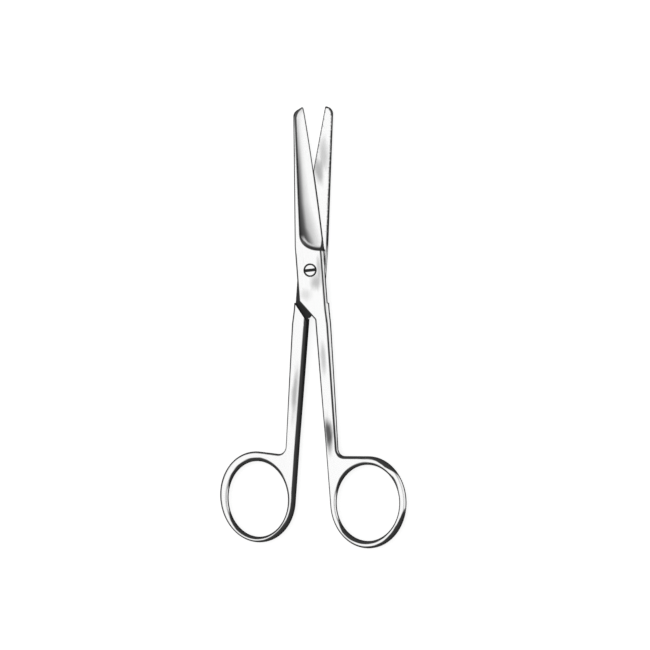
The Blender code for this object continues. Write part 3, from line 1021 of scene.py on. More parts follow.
        lines = []
        for y in (JOINT.top, -JOINT.bottom, -self.shank_end):
            x = np.arange(-JOINT.width, JOINT.width, FINE.face_step / 2)
            line = np.column_stack([x, np.full(len(x), y)])
            lines.append(line[clear(line, FINE.line_margin)])
        points = grid_points(loops[0].min(axis=0), loops[0].max(axis=0), FINE.face_step)
        points = points[clear(points, FINE.border_rows[-1] * MM + FINE.border_margin)]
        for loop in loops:
            for distance in FINE.border_rows:
                row = inset(loop, np.full(len(loop), distance * MM))
                points = np.vstack([points, row[clear(row, FINE.row_overlap * distance * MM)]])
        if ground:
            rim, region = self.ground_rim()
            within = clear(rim, FINE.rim_margin)
            points = points[distance_to_line(points, rim) > FINE.rim_margin]
            along = np.gradient(rim, axis=0)
            inward = np.column_stack([-along[:, 1], along[:, 0]])
            inward /= np.linalg.norm(along, axis=1)[:, None]
            for distance in FINE.rim_rows + FINE.fillet_rows:
                row = rim + inward * distance * MM
                apart = FINE.rim_row_overlap * abs(distance) * MM
                fits = clear(row, FINE.rim_margin) & (distance_to_line(row, rim) > apart)
                points = np.vstack([points, row[fits & (inside(row, region) == (distance > 0))]])
            lines.append(rim[within])
        return lines, points

    def lap_cutter(self) -> bpy.types.Object:
        """All that is milled off below the parting plane. Under the blade it stands up by 16 h s² (1 - s)²,
        with s the share of the blade's width, so that the blade's inner face is slightly hollow.

        Returns:
            The closed solid.
        """
        down = np.array([-math.sin(JOINT.lap_slant), -math.cos(JOINT.lap_slant)])
        out = np.array([math.cos(JOINT.lap_slant), -math.sin(JOINT.lap_slant)])
        side, hollow_start = JOINT.width / 2, BLADE.inner_hollow_start
        on_step = np.array([side, -JOINT.lap_corner]) + out * JOINT.stop_gap
        span, top = 2 * JOINT.width, self.tip_reach + JOINT.width
        loop = np.array([on_step + down * span, on_step - down * span, (span, top), (-span, top)])
        low = (-side, hollow_start - FINE.hollow_margin)
        blade = grid_points(low, (side, self.tip_reach), FINE.face_step)
        lap = grid_points((-side, -JOINT.bottom), (side, 0.0), FINE.face_step)
        points = np.vstack([blade, lap[(lap - on_step) @ out < -FINE.step_margin]])
        border = self.outline()[0]
        for distance in FINE.border_rows:
            row = inset(border, np.full(len(border), distance * MM))
            apart = distance_to_loop(row, border) > FINE.row_overlap * distance * MM
            points = np.vstack([points, row[(row[:, 1] > JOINT.top) & apart & inside(row, border)]])
        extra, triangles = triangulate([loop], [], points)
        x, y = extra.T
        share = np.clip((x - self.spine_x(y)) / (self.edge_x(y) - self.spine_x(y)), 0.0, 1.0)
        lengthwise = smooth_step(y, hollow_start, hollow_start + BLADE.inner_hollow_lead)
        lengthwise = lengthwise * smooth_step(self.tip_reach - y, *BLADE.inner_hollow_fade)
        hollow = BLADE.inner_hollow * 16 * (share * (1 - share)) ** 2 * lengthwise
        upper = np.column_stack([loop, np.full(4, JOINT.lap_gap / 2)])
        lower = np.column_stack([loop, np.full(4, -JOINT.thickness)])
        number = np.concatenate([np.arange(4, 8), 8 + np.arange(len(extra))])
        vertices = np.vstack([lower, upper, np.column_stack([extra, JOINT.lap_gap / 2 + hollow])])
        floor = np.array([[3, 2, 1, 0]])
        return mesh_object(self.piece + "_lap_cutter", vertices, grid_faces(2, 4), floor, number[triangles])

    def bore_cutter(self) -> bpy.types.Object:
        """The hole for the screw: stepped for head and shoulder in the upper half, plain in the lower.

        Returns:
            The closed solid.
        """
        far, face, edge = JOINT.thickness, JOINT.thickness / 2, SCREW.bore_edge
        if self.turned_over:
            radius = SCREW.thread_radius + SCREW.thread_clearance
            profile = [(radius, -far)]
        else:
            low = SCREW.shoulder_radius + SCREW.running_clearance
            radius = SCREW.head_radius + SCREW.head_clearance
            seat = face - SCREW.head_sunk - SCREW.head_height - SCREW.seat_gap
            profile = [(low, -far), (low, seat), (radius, seat)]
        profile += [(radius, face - edge), (radius + edge + far - face, far)]
        return lathe(self.piece + "_bore_cutter", np.array(profile), FINE.turn_steps)

    def by_hour(self, points: np.ndarray, centre: np.ndarray, table: Table) -> np.ndarray:
        """Values from a clock table round a centre, its hours as seen from above in the rest pose.

        Args:
            points: on the plane of the half's own frame.
            centre: of the clock.
            table: pairs of hour and value, with values between them shared out evenly.

        Returns:
            One value for each point.
        """
        across = (points[:, 0] - centre[0]) * (-1 if self.turned_over else 1)
        hour = np.arctan2(across, points[:, 1] - centre[1]) * HOURS / (2 * math.pi)
        hours, values = np.array(table).T
        return np.interp(hour, hours, values, period=HOURS)

    def painted_edge_band(self, points: np.ndarray) -> PaintedEdgeBand:
        """The painted dark line beside the outline, set in from the painted light strip on the upper half's
        right side.

        Args:
            points: on the plane.

        Returns:
            The painted line, and the painted light beside it, at each point.
        """
        x, y = points.T
        look = PAINTED_REFLECTION
        top = self.ring_corner(self.outline_top())[1]
        on_right = (x > self.shank_inner_x + look.shank_middle) != self.turned_over
        on_edge = x > (self.edge_x(y) + self.spine_x(y)) / 2
        on_blade = y > BLADE.runout_end
        at_tip, near_tip = y > self.tip_reach - look.tip_length, y > self.tip_reach - look.spine_tip_length
        end = np.select(
            [at_tip, near_tip & ~on_edge, on_blade & on_edge, on_blade],
            [look.line, look.spine_tip_line, look.edge_line, look.spine_line],
            look.line,
        )
        start, light_end = np.full(len(x), -look.outside), np.full(len(x), look.far)
        if self.turned_over:
            shank_line = np.interp(-y, [JOINT.lap_corner, self.shank_end], look.lower_shank_line)
            end = np.where(on_right & (y < -JOINT.lap_corner), shank_line, end)
            low, full, fading, high = look.crossing
            crossing = smooth_step(y, low, full) * smooth_step(-y, -high, -fading) * (x < 0.0)
            end = end - look.crossing_thinner * crossing
            light = look.crossing_light * crossing
        else:
            strip = on_right & ~on_blade & (y > top)
            strip_end = np.interp(-y, [JOINT.side_end, JOINT.bottom], look.strip_inset)
            end = np.where(on_edge & on_blade, read_off(look.curl_line, y), end)
            end = np.where(strip, strip_end + look.strip_line, end)
            start, light_end = np.where(strip, strip_end, start), np.where(strip, strip_end, light_end)
            first, full = look.strip_start
            light = strip * smooth_step(y, top + first, top + full)
            light = light * smooth_step(-y, -BLADE.runout_end, look.strip_fade - BLADE.runout_end)
        before, past = look.ring_start
        in_ring = smooth_step(-y, before - top, past - top)
        centre = self.ovals()[0]
        end = end + in_ring * (self.by_hour(points, centre, self.bands.ring) * MM - end)
        light = light + in_ring * (self.by_hour(points, centre, self.bands.ring_light) - light)
        light_end = np.where(in_ring > 0.5, look.far, light_end)
        start = np.where(in_ring > 0.5, -look.outside, start)
        return PaintedEdgeBand(start, end, light, light_end)

    def free_of_other_lap(self, points: np.ndarray) -> np.ndarray:
        """Mask of what the other half's lap leaves open to view at rest: the points, turned by the opening,
        that lie past the side or the slanted edge of a lap.

        Args:
            points: on the plane.

        Returns:
            One value for each point.
        """
        # Where this mask is 1 the parting face gets painted shade, as in a recess
        opening = UPPER_HALF.rest_turn + LOWER_HALF.rest_turn
        cos, sin = math.cos(opening), math.sin(opening)
        past_side = points @ np.array([cos, -sin]) - JOINT.width / 2
        below_corner = points @ np.array([sin, cos]) + JOINT.lap_corner
        past_slant = past_side * math.cos(JOINT.lap_slant) - below_corner * math.sin(JOINT.lap_slant)
        return smooth_step(np.maximum(past_side, past_slant), *PAINTED_REFLECTION.lap_edge)

    def survey(self, mesh: bpy.types.Mesh) -> Survey:
        """Measures where each vertex lies.

        Args:
            mesh: of the half, in its own frame.

        Returns:
            One value of each kind for each vertex.
        """
        own = coordinates(mesh)
        flat, z = own[:, :2], own[:, 2]
        rim, region = self.ground_rim()
        border, eye = self.outline()[0], self.eye()[0]
        start, height = BLADE.runout_end, BLADE.runout_height
        return Survey(
            flat=flat,
            z=z,
            from_border=distance_to_loop(flat, border),
            from_eye=distance_to_loop(flat, eye),
            from_rim=distance_to_line(flat, rim),
            within=inside(flat, region),
            runout=smooth_step(-flat[:, 1], -start - height, -start - 0.5 * height),
            outer_side=z > JOINT.lap_gap / 2 + BLADE.inner_hollow + PAINTED_REFLECTION.outer_margin,
        )

    def painted_dark_lines(self, at: Survey, edge: PaintedEdgeBand) -> np.ndarray:
        """The painted dark lines beside the outline, round the eye and along the ground face's rim.

        Args:
            at: where the vertices lie.
            edge: the painted line beside the outline.

        Returns:
            A mask with one value for each vertex.
        """
        look = PAINTED_REFLECTION
        border_line = look.past(at.from_border - edge.start) * (1 - look.past(at.from_border - edge.end))
        eye_end = self.by_hour(at.flat, self.ovals()[2], self.bands.eye) * MM
        eye_line = 1 - look.past(at.from_eye - eye_end)
        rim_start = look.rim_at_runout * at.runout * at.within + read_off(look.rim_more, at.y)
        rim_line = (1 - smooth_step(at.from_rim - rim_start, *look.rim_line)) * at.outer_side
        return np.maximum(np.maximum(border_line, eye_line), look.rim_strength * rim_line)

    def painted_wall_light(self, at: Survey, edge: PaintedEdgeBand, in_ring: np.ndarray) -> np.ndarray:
        """Where painted light takes the painted shade off the upper part of a wall, above a height that
        changes along the half.

        Args:
            at: where the vertices lie.
            edge: the painted light beside the outline.
            in_ring: how far each vertex is into the ring.

        Returns:
            A mask with one value for each vertex.
        """
        look = PAINTED_REFLECTION
        share = np.clip((-at.y - JOINT.bottom) / (self.shank_end - JOINT.bottom), 0.0, 1.0)
        low, rise = look.wall_low
        height = low + rise * share**2
        if self.turned_over:
            above, beside_front = look.wall_beside_front
            height = np.where(at.y > above, beside_front, height)
        else:
            beside_rear = at.y > -JOINT.lap_corner - look.wall_beside_rear_end
            height = np.where(beside_rear, read_off(look.wall_beside_rear, at.y), height)
        up = -at.z if self.turned_over else at.z
        edge_light = edge.light * (1 - look.past(at.from_border - edge.light_end))
        eye_light = self.by_hour(at.flat, self.ovals()[2], self.bands.eye_light) * in_ring
        light = np.where(at.from_border < at.from_eye, edge_light.clip(0.0), eye_light.clip(0.0))
        return light * smooth_step(up - height, -look.wall_soft, look.wall_soft)

    def ground_shade(self, at: Survey) -> np.ndarray:
        """The ground face's painted shading: 1 - t^2.2, with t white less a dark core and an even haze, less
        a painted light line inside the runout.

        Args:
            at: where the vertices lie.

        Returns:
            A mask with one value for each vertex.
        """
        ends = [BLADE.runout_end + BLADE.runout_height, self.tip_reach]
        land = np.interp(at.y, ends, [BLADE.land_at_base, BLADE.land_at_tip])
        beside = (at.flat[:, 0] - self.spine_x(at.y) - land) / MM
        knots, *columns = np.array([astuple(station) for station in GROUND_SHADE]).T
        core, start, end, haze, haze_end = [np.interp(at.y / MM, knots, column) for column in columns]
        tone = 1 - core * (1 - smooth_step(beside, start, end))
        tone = tone - haze * (1 - np.clip(beside / haze_end, 0.0, 1.0))
        glint = at.runout * (1 - smooth_step(at.from_rim, *PAINTED_REFLECTION.runout_glint))
        return (1 - tone**SHADE_GAMMA) * at.within * at.outer_side * (1 - glint)

    def mark(self, mesh: bpy.types.Mesh) -> None:
        """Stores where the surface is ground, and where it gets painted shade, painted lines and painted
        highlights.

        Args:
            mesh: of the half, in its own frame.
        """
        look = PAINTED_REFLECTION
        vertex, slope = face_corners(mesh)
        at = self.survey(mesh)
        edge = self.painted_edge_band(at.flat)
        in_ring = smooth_step(-at.y, self.shank_end, self.shank_end + look.ring_lead)
        ground = self.ground(at.flat)[1] * at.outer_side
        # The tip of the ground face is kept free of painted shade
        far, near = look.tip_lead
        tip = smooth_step(at.y, self.tip_reach - far, self.tip_reach - near) * ground
        tip = tip * smooth_step(at.from_rim, *look.tip_rim)
        # Painted shade on steep slopes, less on the ring and the ground face, taken off by painted light on
        # the upper walls
        flatter = look.ring_slope * in_ring + look.ground_slope * ground * (1 - at.runout)
        sides = smooth_step(slope - flatter[vertex], *look.dark_slopes)
        sides = sides * (1 - look.tip_strength * tip[vertex])
        sides = sides * (1 - look.wall_strength * self.painted_wall_light(at, edge, in_ring)[vertex])

        # Painted shade on the parting face where the other lap leaves it open, as in a recess
        on_inner = (at.z < JOINT.lap_gap / 2 + BLADE.inner_hollow + look.inner_margin) & (at.z > 0.0)
        facing = slope < look.facing_slope
        lap = (on_inner * (at.y < 0.0) * self.free_of_other_lap(at.flat))[vertex] * facing
        # Painted dark lines beside the outline, round the eye and along the rim
        lines = self.painted_dark_lines(at, edge)[vertex] * (slope < look.line_slope)
        dark = np.maximum(np.maximum(sides, lap), lines)
        # A painted highlight at the lower half's lap root
        if self.turned_over:
            away_x, away_y = (at.flat - self.lap_root()).T
            glint = 1 - smooth_step(np.hypot(away_x / look.glint_length, away_y), *look.glint)
            dark = dark * (1 - look.glint_strength * glint[vertex] * (slope > look.glint_slope))
        start = BLADE.inner_hollow_start
        inner = on_inner * smooth_step(at.y, start, start + look.inner_lead)
        add_mask(mesh, "ground", ground[vertex])
        add_mask(mesh, "inner", inner[vertex] * facing)
        # The sides mask carries all painted shade and painted lines; the shade mask carries the ground face's
        # painted shading
        add_mask(mesh, "sides", dark)
        add_mask(mesh, "shade", self.ground_shade(at)[vertex] * (slope < look.shade_slope))

    def build(self, material: bpy.types.Material) -> bpy.types.Object:
        """Makes the half, stores its masks, lays it down and gives it to its body.

        Args:
            material: its steel.

        Returns:
            The finished piece.
        """
        piece = carved(self.blank(), [self.lap_cutter(), self.bore_cutter()])
        mesh = piece.data
        self.mark(mesh)
        own = coordinates(mesh)
        if self.turned_over:
            own = own * np.array([-1.0, 1.0, -1.0])
        lay_down(mesh, own, -self.rest_turn if self.turned_over else self.rest_turn)
        dress(piece, material)
        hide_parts(self.node)
        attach(piece, self.body.value)
        return piece


@dataclass(frozen=True)
class PivotScrew:
    """The slotted screw that the upper half turns on, fast in the lower half."""

    piece: str = "turned_screw"
    node: str = "pivot_screw"
    sizes: ScrewSizes = SCREW

    def profile(self) -> np.ndarray:
        """Half section: straight parts, with a chamfer at the threaded end and a quarter circle at the head's
        edge.

        Returns:
            Points of radius and height, from the threaded end to the face.
        """
        s, face = self.sizes, JOINT.thickness / 2
        top, seat = face - s.head_sunk, face - s.head_sunk - s.head_height
        turns = np.linspace(0.0, math.pi / 2, FINE.head_edge_points)
        edge = np.column_stack([
            s.head_radius - s.head_edge * (1 - np.cos(turns)), top - s.head_edge * (1 - np.sin(turns))
        ])
        brim = [(s.head_radius - distance * MM, top) for distance in s.brim_insets]
        threaded = np.arange(-face + s.thread_chamfer, -s.thread.fade / 2, s.thread.pitch / FINE.thread_steps)
        return np.vstack([
            [(s.thread_radius - s.thread_chamfer, -face)],
            np.column_stack([np.full(len(threaded), s.thread_radius), threaded]),
            [(s.thread_radius, 0.0), (s.shoulder_radius, 0.0)],
            [(s.shoulder_radius, seat), (s.head_radius, seat)],
            edge,
            brim,
        ])

    def slot_cutter(self) -> bpy.types.Object:
        """A bar with the slot's section, its sides flared at the face to break the slot's edges.

        Returns:
            The closed solid.
        """
        s = self.sizes
        top, half, reach = JOINT.thickness / 2 - s.head_sunk, s.slot_width / 2, 2 * s.head_radius
        floor, flare, rise = top - s.slot_depth, s.slot_edge, s.head_height
        right = [(half, floor), (half, top - flare), (half + flare + rise, top + rise)]
        section = np.array([(-y, z) for y, z in right[::-1]] + right)
        count = len(section)
        vertices = np.vstack([np.column_stack([np.full(count, x), section]) for x in (-reach, reach)])
        ends = np.array([np.arange(count)[::-1], count + np.arange(count)])
        return mesh_object("screw_slot_cutter", vertices, grid_faces(2, count), ends)

    def build(self, material: bpy.types.Material) -> bpy.types.Object:
        """Makes the screw and gives it to its body.

        Args:
            material: its steel.

        Returns:
            The finished piece.
        """
        s = self.sizes
        piece = carved(lathe(self.piece, self.profile(), FINE.turn_steps, s.thread), [self.slot_cutter()])
        vertex, slope = face_corners(piece.data)
        x, y, z = coordinates(piece.data)[vertex].T
        # Painted shade in the slot, round the head's brim and on steep slopes
        depth = (JOINT.thickness / 2 - s.head_sunk - z) / s.slot_depth
        in_slot = (depth > s.slot_dark[0]) & (depth < s.slot_dark[1])
        start, full = s.brim_line
        brim = smooth_step(np.hypot(x, y), s.head_radius - start, s.head_radius - full) * (z > 0.0)
        steep = smooth_step(slope, *s.dark_slopes)
        add_mask(piece.data, "sides", np.maximum(np.maximum(in_slot, brim), steep))
        lay_down(piece.data, coordinates(piece.data), s.slot_turn)
        dress(piece, material)
        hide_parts(self.node)
        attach(piece, Body.LOWER.value)
        return piece


def lay_down(mesh: bpy.types.Mesh, vertices: np.ndarray, turn: float) -> None:
    """Turns vertices about Z and lifts them to the height of the pivot.

    Args:
        mesh: takes the vertices.
        vertices: in the frame of the pivot, outer face of the upper half up.
        turn: anticlockwise, in radians.
    """
    cos, sin = math.cos(turn), math.sin(turn)
    placed = vertices @ np.array([[cos, sin, 0.0], [-sin, cos, 0.0], [0.0, 0.0, 1.0]])
    placed[:, 2] += JOINT.thickness / 2
    mesh.vertices.foreach_set("co", placed.ravel())
    mesh.update()


def dress(piece: bpy.types.Object, material: bpy.types.Material) -> None:
    """Gives a piece its material, smooth curves, crisp corners and normals that keep flat faces flat.

    Args:
        piece: one of the three.
        material: its steel.
    """
    mesh = piece.data
    mesh.materials.clear()
    mesh.materials.append(material)
    mesh.shade_smooth()
    mesh.set_sharp_from_angle(angle=SHARP_ANGLE)
    weighted = piece.modifiers.new("flat_faces", "WEIGHTED_NORMAL")
    weighted.keep_sharp = True
    LOG.info("%s: %d faces", piece.name, len(mesh.polygons))


UPPER_HALF = ForgedHalf(
    piece="upper_forging",
    node="front_half",
    body=Body.UPPER,
    turned_over=False,
    rest_turn=math.radians(4.5),
    tip_reach=53.7 * MM,
    tip_edge_x=1.5 * MM,
    tip_spine_x=-1.85 * MM,
    tip_drop=1.7 * MM,
    edge_belly=0.3 * MM,
    shank_inner_x=0.38 * MM,
    shank_width=4.35 * MM,
    ring_reach=77.15 * MM,
    ring_lean=math.radians(4.0),
    ring_top_fall=math.radians(4.5),
    eye_width=21.2 * MM,
    eye_height=24.9 * MM,
    eye_lean=math.radians(4.5),
    band_inner=1.9 * MM,
    band_outer=2.2 * MM,
    band_top=2.8 * MM,
    band_bottom=2.4 * MM,
    bands=RingBands(
        ring=(
            (0.0, 0.95), (0.4, 1.0), (0.8, 1.35), (1.05, 1.5), (1.3, 1.1), (1.6, 0.4), (1.9, -0.2),
            (3.3, -0.2), (3.7, 0.7), (4.0, 1.0), (4.5, 1.3), (5.0, 1.2), (5.5, 0.95), (6.0, 0.75),
            (6.4, 0.6), (7.0, 0.58), (10.75, 0.5), (10.95, 0.9),
        ),
        ring_light=((1.5, 0.0), (2.0, 1.0), (3.4, 1.0), (3.7, 0.0)),
        eye=(
            (0.0, 0.98), (1.3, 0.6), (1.7, 0.95), (2.1, 0.85), (2.5, 0.5), (4.0, 0.5), (5.0, 0.6),
            (6.0, 1.0), (7.0, 1.2), (7.5, 1.1), (8.0, 0.4), (8.5, -0.2), (9.4, -0.2), (10.0, 0.5),
            (10.5, 0.85), (11.0, 0.95),
        ),
        eye_light=((7.8, 0.0), (8.4, 1.0), (9.4, 1.0), (10.0, 0.0)),
    ),
)
LOWER_HALF = ForgedHalf(
    piece="lower_forging",
    node="rear_half",
    body=Body.LOWER,
    turned_over=True,
    rest_turn=math.radians(4.1),
    tip_reach=54.0 * MM,
    tip_edge_x=-0.73 * MM,
    tip_spine_x=-3.27 * MM,
    tip_drop=0.75 * MM,
    edge_belly=0.05 * MM,
    shank_inner_x=0.02 * MM,
    shank_width=4.85 * MM,
    ring_reach=75.45 * MM,
    ring_lean=math.radians(11.8),
    ring_top_fall=math.radians(-2.5),
    eye_width=20.3 * MM,
    eye_height=24.84 * MM,
    eye_lean=math.radians(8.0),
    band_inner=2.43 * MM,
    band_outer=2.47 * MM,
    band_top=3.22 * MM,
    band_bottom=1.84 * MM,
    bands=RingBands(
        ring=(
            (0.0, 0.5), (0.9, 0.6), (1.2, 1.25), (3.0, 1.2), (3.5, 1.15), (4.0, 1.2), (4.5, 1.3),
            (5.0, 1.15), (5.5, 0.8), (6.0, 0.56), (6.5, 0.54), (9.0, 0.76), (11.0, 0.6),
        ),
        ring_light=((0.0, 0.0),),
        eye=(
            (0.0, 1.35), (1.0, 1.1), (2.0, 0.75), (3.0, 0.7), (4.0, 0.62), (5.0, 0.65), (6.0, 0.85),
            (7.0, 0.95), (7.7, 0.6), (8.3, -0.2), (9.3, -0.2), (10.0, 0.6), (11.0, 1.05),
        ),
        eye_light=((7.8, 0.0), (8.3, 1.0), (9.3, 1.0), (9.9, 0.0)),
    ),
)


# Materials


class Grain(Enum):
    """Noise patterns: specks per metre along each axis, detail, and turn about Z in degrees."""

    POLISHED = ((1900.0, 70.0, 900.0), 5.0, 0.0)
    GROUND = ((90.0, 2300.0, 900.0), 4.0, -12.0)
    CLOUDS = ((95.0, 60.0, 95.0), 3.0, 0.0)
    HAIRLINES = ((2600.0, 170.0, 300.0), 1.0, 17.0)
    MORE_HAIRLINES = ((2900.0, 200.0, 300.0), 1.0, -38.0)
    SHADE_PATCH_RIM = ((500.0, 160.0, 500.0), 3.0, 0.0)


class Graph:
    """A node tree, with short calls that add a node and return its output."""

    def __init__(self, tree: bpy.types.NodeTree) -> None:
        """Keeps the tree."""
        self.tree = tree

    @classmethod
    def of(cls, owner: bpy.types.Material | bpy.types.World) -> Graph:
        """Empties the node tree of a material or a world.

        Args:
            owner: of the tree.

        Returns:
            The tree as a graph.
        """
        owner.use_nodes = True
        owner.node_tree.nodes.clear()
        return cls(owner.node_tree)

    @classmethod
    def group(cls, name: str, inputs: dict[str, str], outputs: dict[str, str]) -> Graph:
        """An empty node group with its sockets.

        Args:
            name: of the group.
            inputs: socket types by name.
            outputs: socket types by name.

        Returns:
            The group as a graph.
        """
        tree = bpy.data.node_groups.new(name, "ShaderNodeTree")
        for names, way in ((inputs, "INPUT"), (outputs, "OUTPUT")):
            for socket, kind in names.items():
                tree.interface.new_socket(socket, in_out=way, socket_type="NodeSocket" + kind)
        return cls(tree)

    def node(self, kind: str, inputs: Inputs | None = None, **settings: object) -> bpy.types.Node:
        """Adds a node.

        Args:
            kind: its type name, without ShaderNode for shader nodes.
            inputs: values or sockets for its inputs, by name or number.
            settings: properties of the node.

        Returns:
            The node.
        """
        made = self.tree.nodes.new(kind if kind.startswith("Node") else "ShaderNode" + kind)
        for name, value in settings.items():
            setattr(made, name, value)
        for name, value in (inputs or {}).items():
            if isinstance(value, NodeSocket):
                self.tree.links.new(value, made.inputs[name])
            else:
                made.inputs[name].default_value = value
        return made

    def math(self, operation: str, first: object, second: object = 0.0, clamp: bool = False) -> NodeSocket:
        """One sum on numbers."""
        return self.node("Math", {0: first, 1: second}, operation=operation, use_clamp=clamp).outputs[0]

    def vector_math(self, operation: str, first: object, second: object = None) -> NodeSocket:
        """One sum on vectors.

        Args:
            operation: its name.
            first, second: what it works on.

        Returns:
            A vector, or a number for LENGTH and DOT_PRODUCT.
        """
        inputs = {0: first} if second is None else {0: first, 1: second}
        plain = operation in ("LENGTH", "DOT_PRODUCT")
        return self.node("VectorMath", inputs, operation=operation).outputs["Value" if plain else "Vector"]

    def darken(self, shade: object, mask: object, strength: float) -> NodeSocket:
        """The shade times 1 - mask · strength."""
        darker = self.math("MULTIPLY", mask, strength)
        return self.math("MULTIPLY", shade, self.math("SUBTRACT", 1.0, darker))

    def blend(self, factor: object, first: object, second: object) -> NodeSocket:
        """A number between two others."""
        return self.node("Mix", {0: factor, 2: first, 3: second}, data_type="FLOAT").outputs[0]

    def fit(self, value: object, given: Pair, wanted: Pair = (0.0, 1.0)) -> NodeSocket:
        """Maps one range to another by 3s² - 2s³, and keeps to its ends beyond.

        Args:
            value: a number.
            given, wanted: the two ranges.

        Returns:
            The mapped number.
        """
        names = ("From Min", "From Max", "To Min", "To Max")
        inputs = {"Value": value, **dict(zip(names, given + wanted))}
        return self.node("MapRange", inputs, interpolation_type="SMOOTHSTEP").outputs["Result"]

    def mapped(self, vector: object, **inputs: object) -> NodeSocket:
        """A vector that is turned by Rotation or multiplied by Scale."""
        named = {"Vector": vector, **{name.capitalize(): value for name, value in inputs.items()}}
        return self.node("Mapping", named, vector_type="POINT").outputs[0]

    def noise(self, vector: object, grain: Grain) -> NodeSocket:
        """Noise in a vector that is turned about Z and then scaled, one unit of it being one speck.

        Args:
            vector: place on the object.
            grain: the pattern.

        Returns:
            A number from 0 to 1.
        """
        scale, detail, turn = grain.value
        turned = self.mapped(vector, rotation=(0.0, 0.0, math.radians(turn)))
        scaled = self.mapped(turned, scale=scale)
        inputs = {"Vector": scaled, "Scale": 1.0, "Detail": detail, "Roughness": MARKS.noise_roughness}
        return self.node("TexNoise", inputs, noise_dimensions="3D").outputs["Fac"]

    def mask(self, name: str) -> NodeSocket:
        """One of the masks that the mesh holds."""
        return self.node("Attribute", attribute_name=name).outputs["Fac"]


@dataclass(frozen=True)
class ShadePatch:
    """A soft patch of painted shade that stands in for a dimmer reflection, in the plane of the rest pose."""

    centre: Pair
    reach: Pair
    turn: float
    strength: float


@dataclass(frozen=True)
class SteelFinish:
    """A steel surface: plain values, and how strongly each kind of mark shows, the painted shade among them.
    """

    name: str
    grey: float = 0.84
    roughness: float = 0.16
    ground_roughness: float = 0.22
    lines: float = 0.07
    clouds: float = 0.05
    scratches: float = 0.6
    bump: float = 0.002 * MM
    painted_side_shade: float = 0.96
    ground_shade: float = 1.0
    turn: float = 0.0
    shade_patches: tuple[ShadePatch, ...] = ()


@dataclass(frozen=True)
class Marks:
    """How the shared patterns show, the same in every finish."""

    hairlines: Pair = (0.735, 0.76)
    more_hairlines: Pair = (0.745, 0.77)
    hairline_shade: float = 0.12
    hairline_haze: float = 0.5
    haze: float = 0.25
    noise_roughness: float = 0.55
    # Uneven rim of the patches of painted shade
    shade_patch_unevenness: float = 0.7
    shade_patch_rim: Pair = (0.15, 1.0)
    rings_per_metre: float = 9000.0
    rings_detail: float = 3.0
    rings: Pair = (0.3, 0.7)
    ring_shades: Pair = (0.94, 1.03)
    # Where the painted shade also turns the steel non-metal, so that it reads black
    painted_shade_matte: Pair = (0.4, 0.95)


MARKS = Marks()


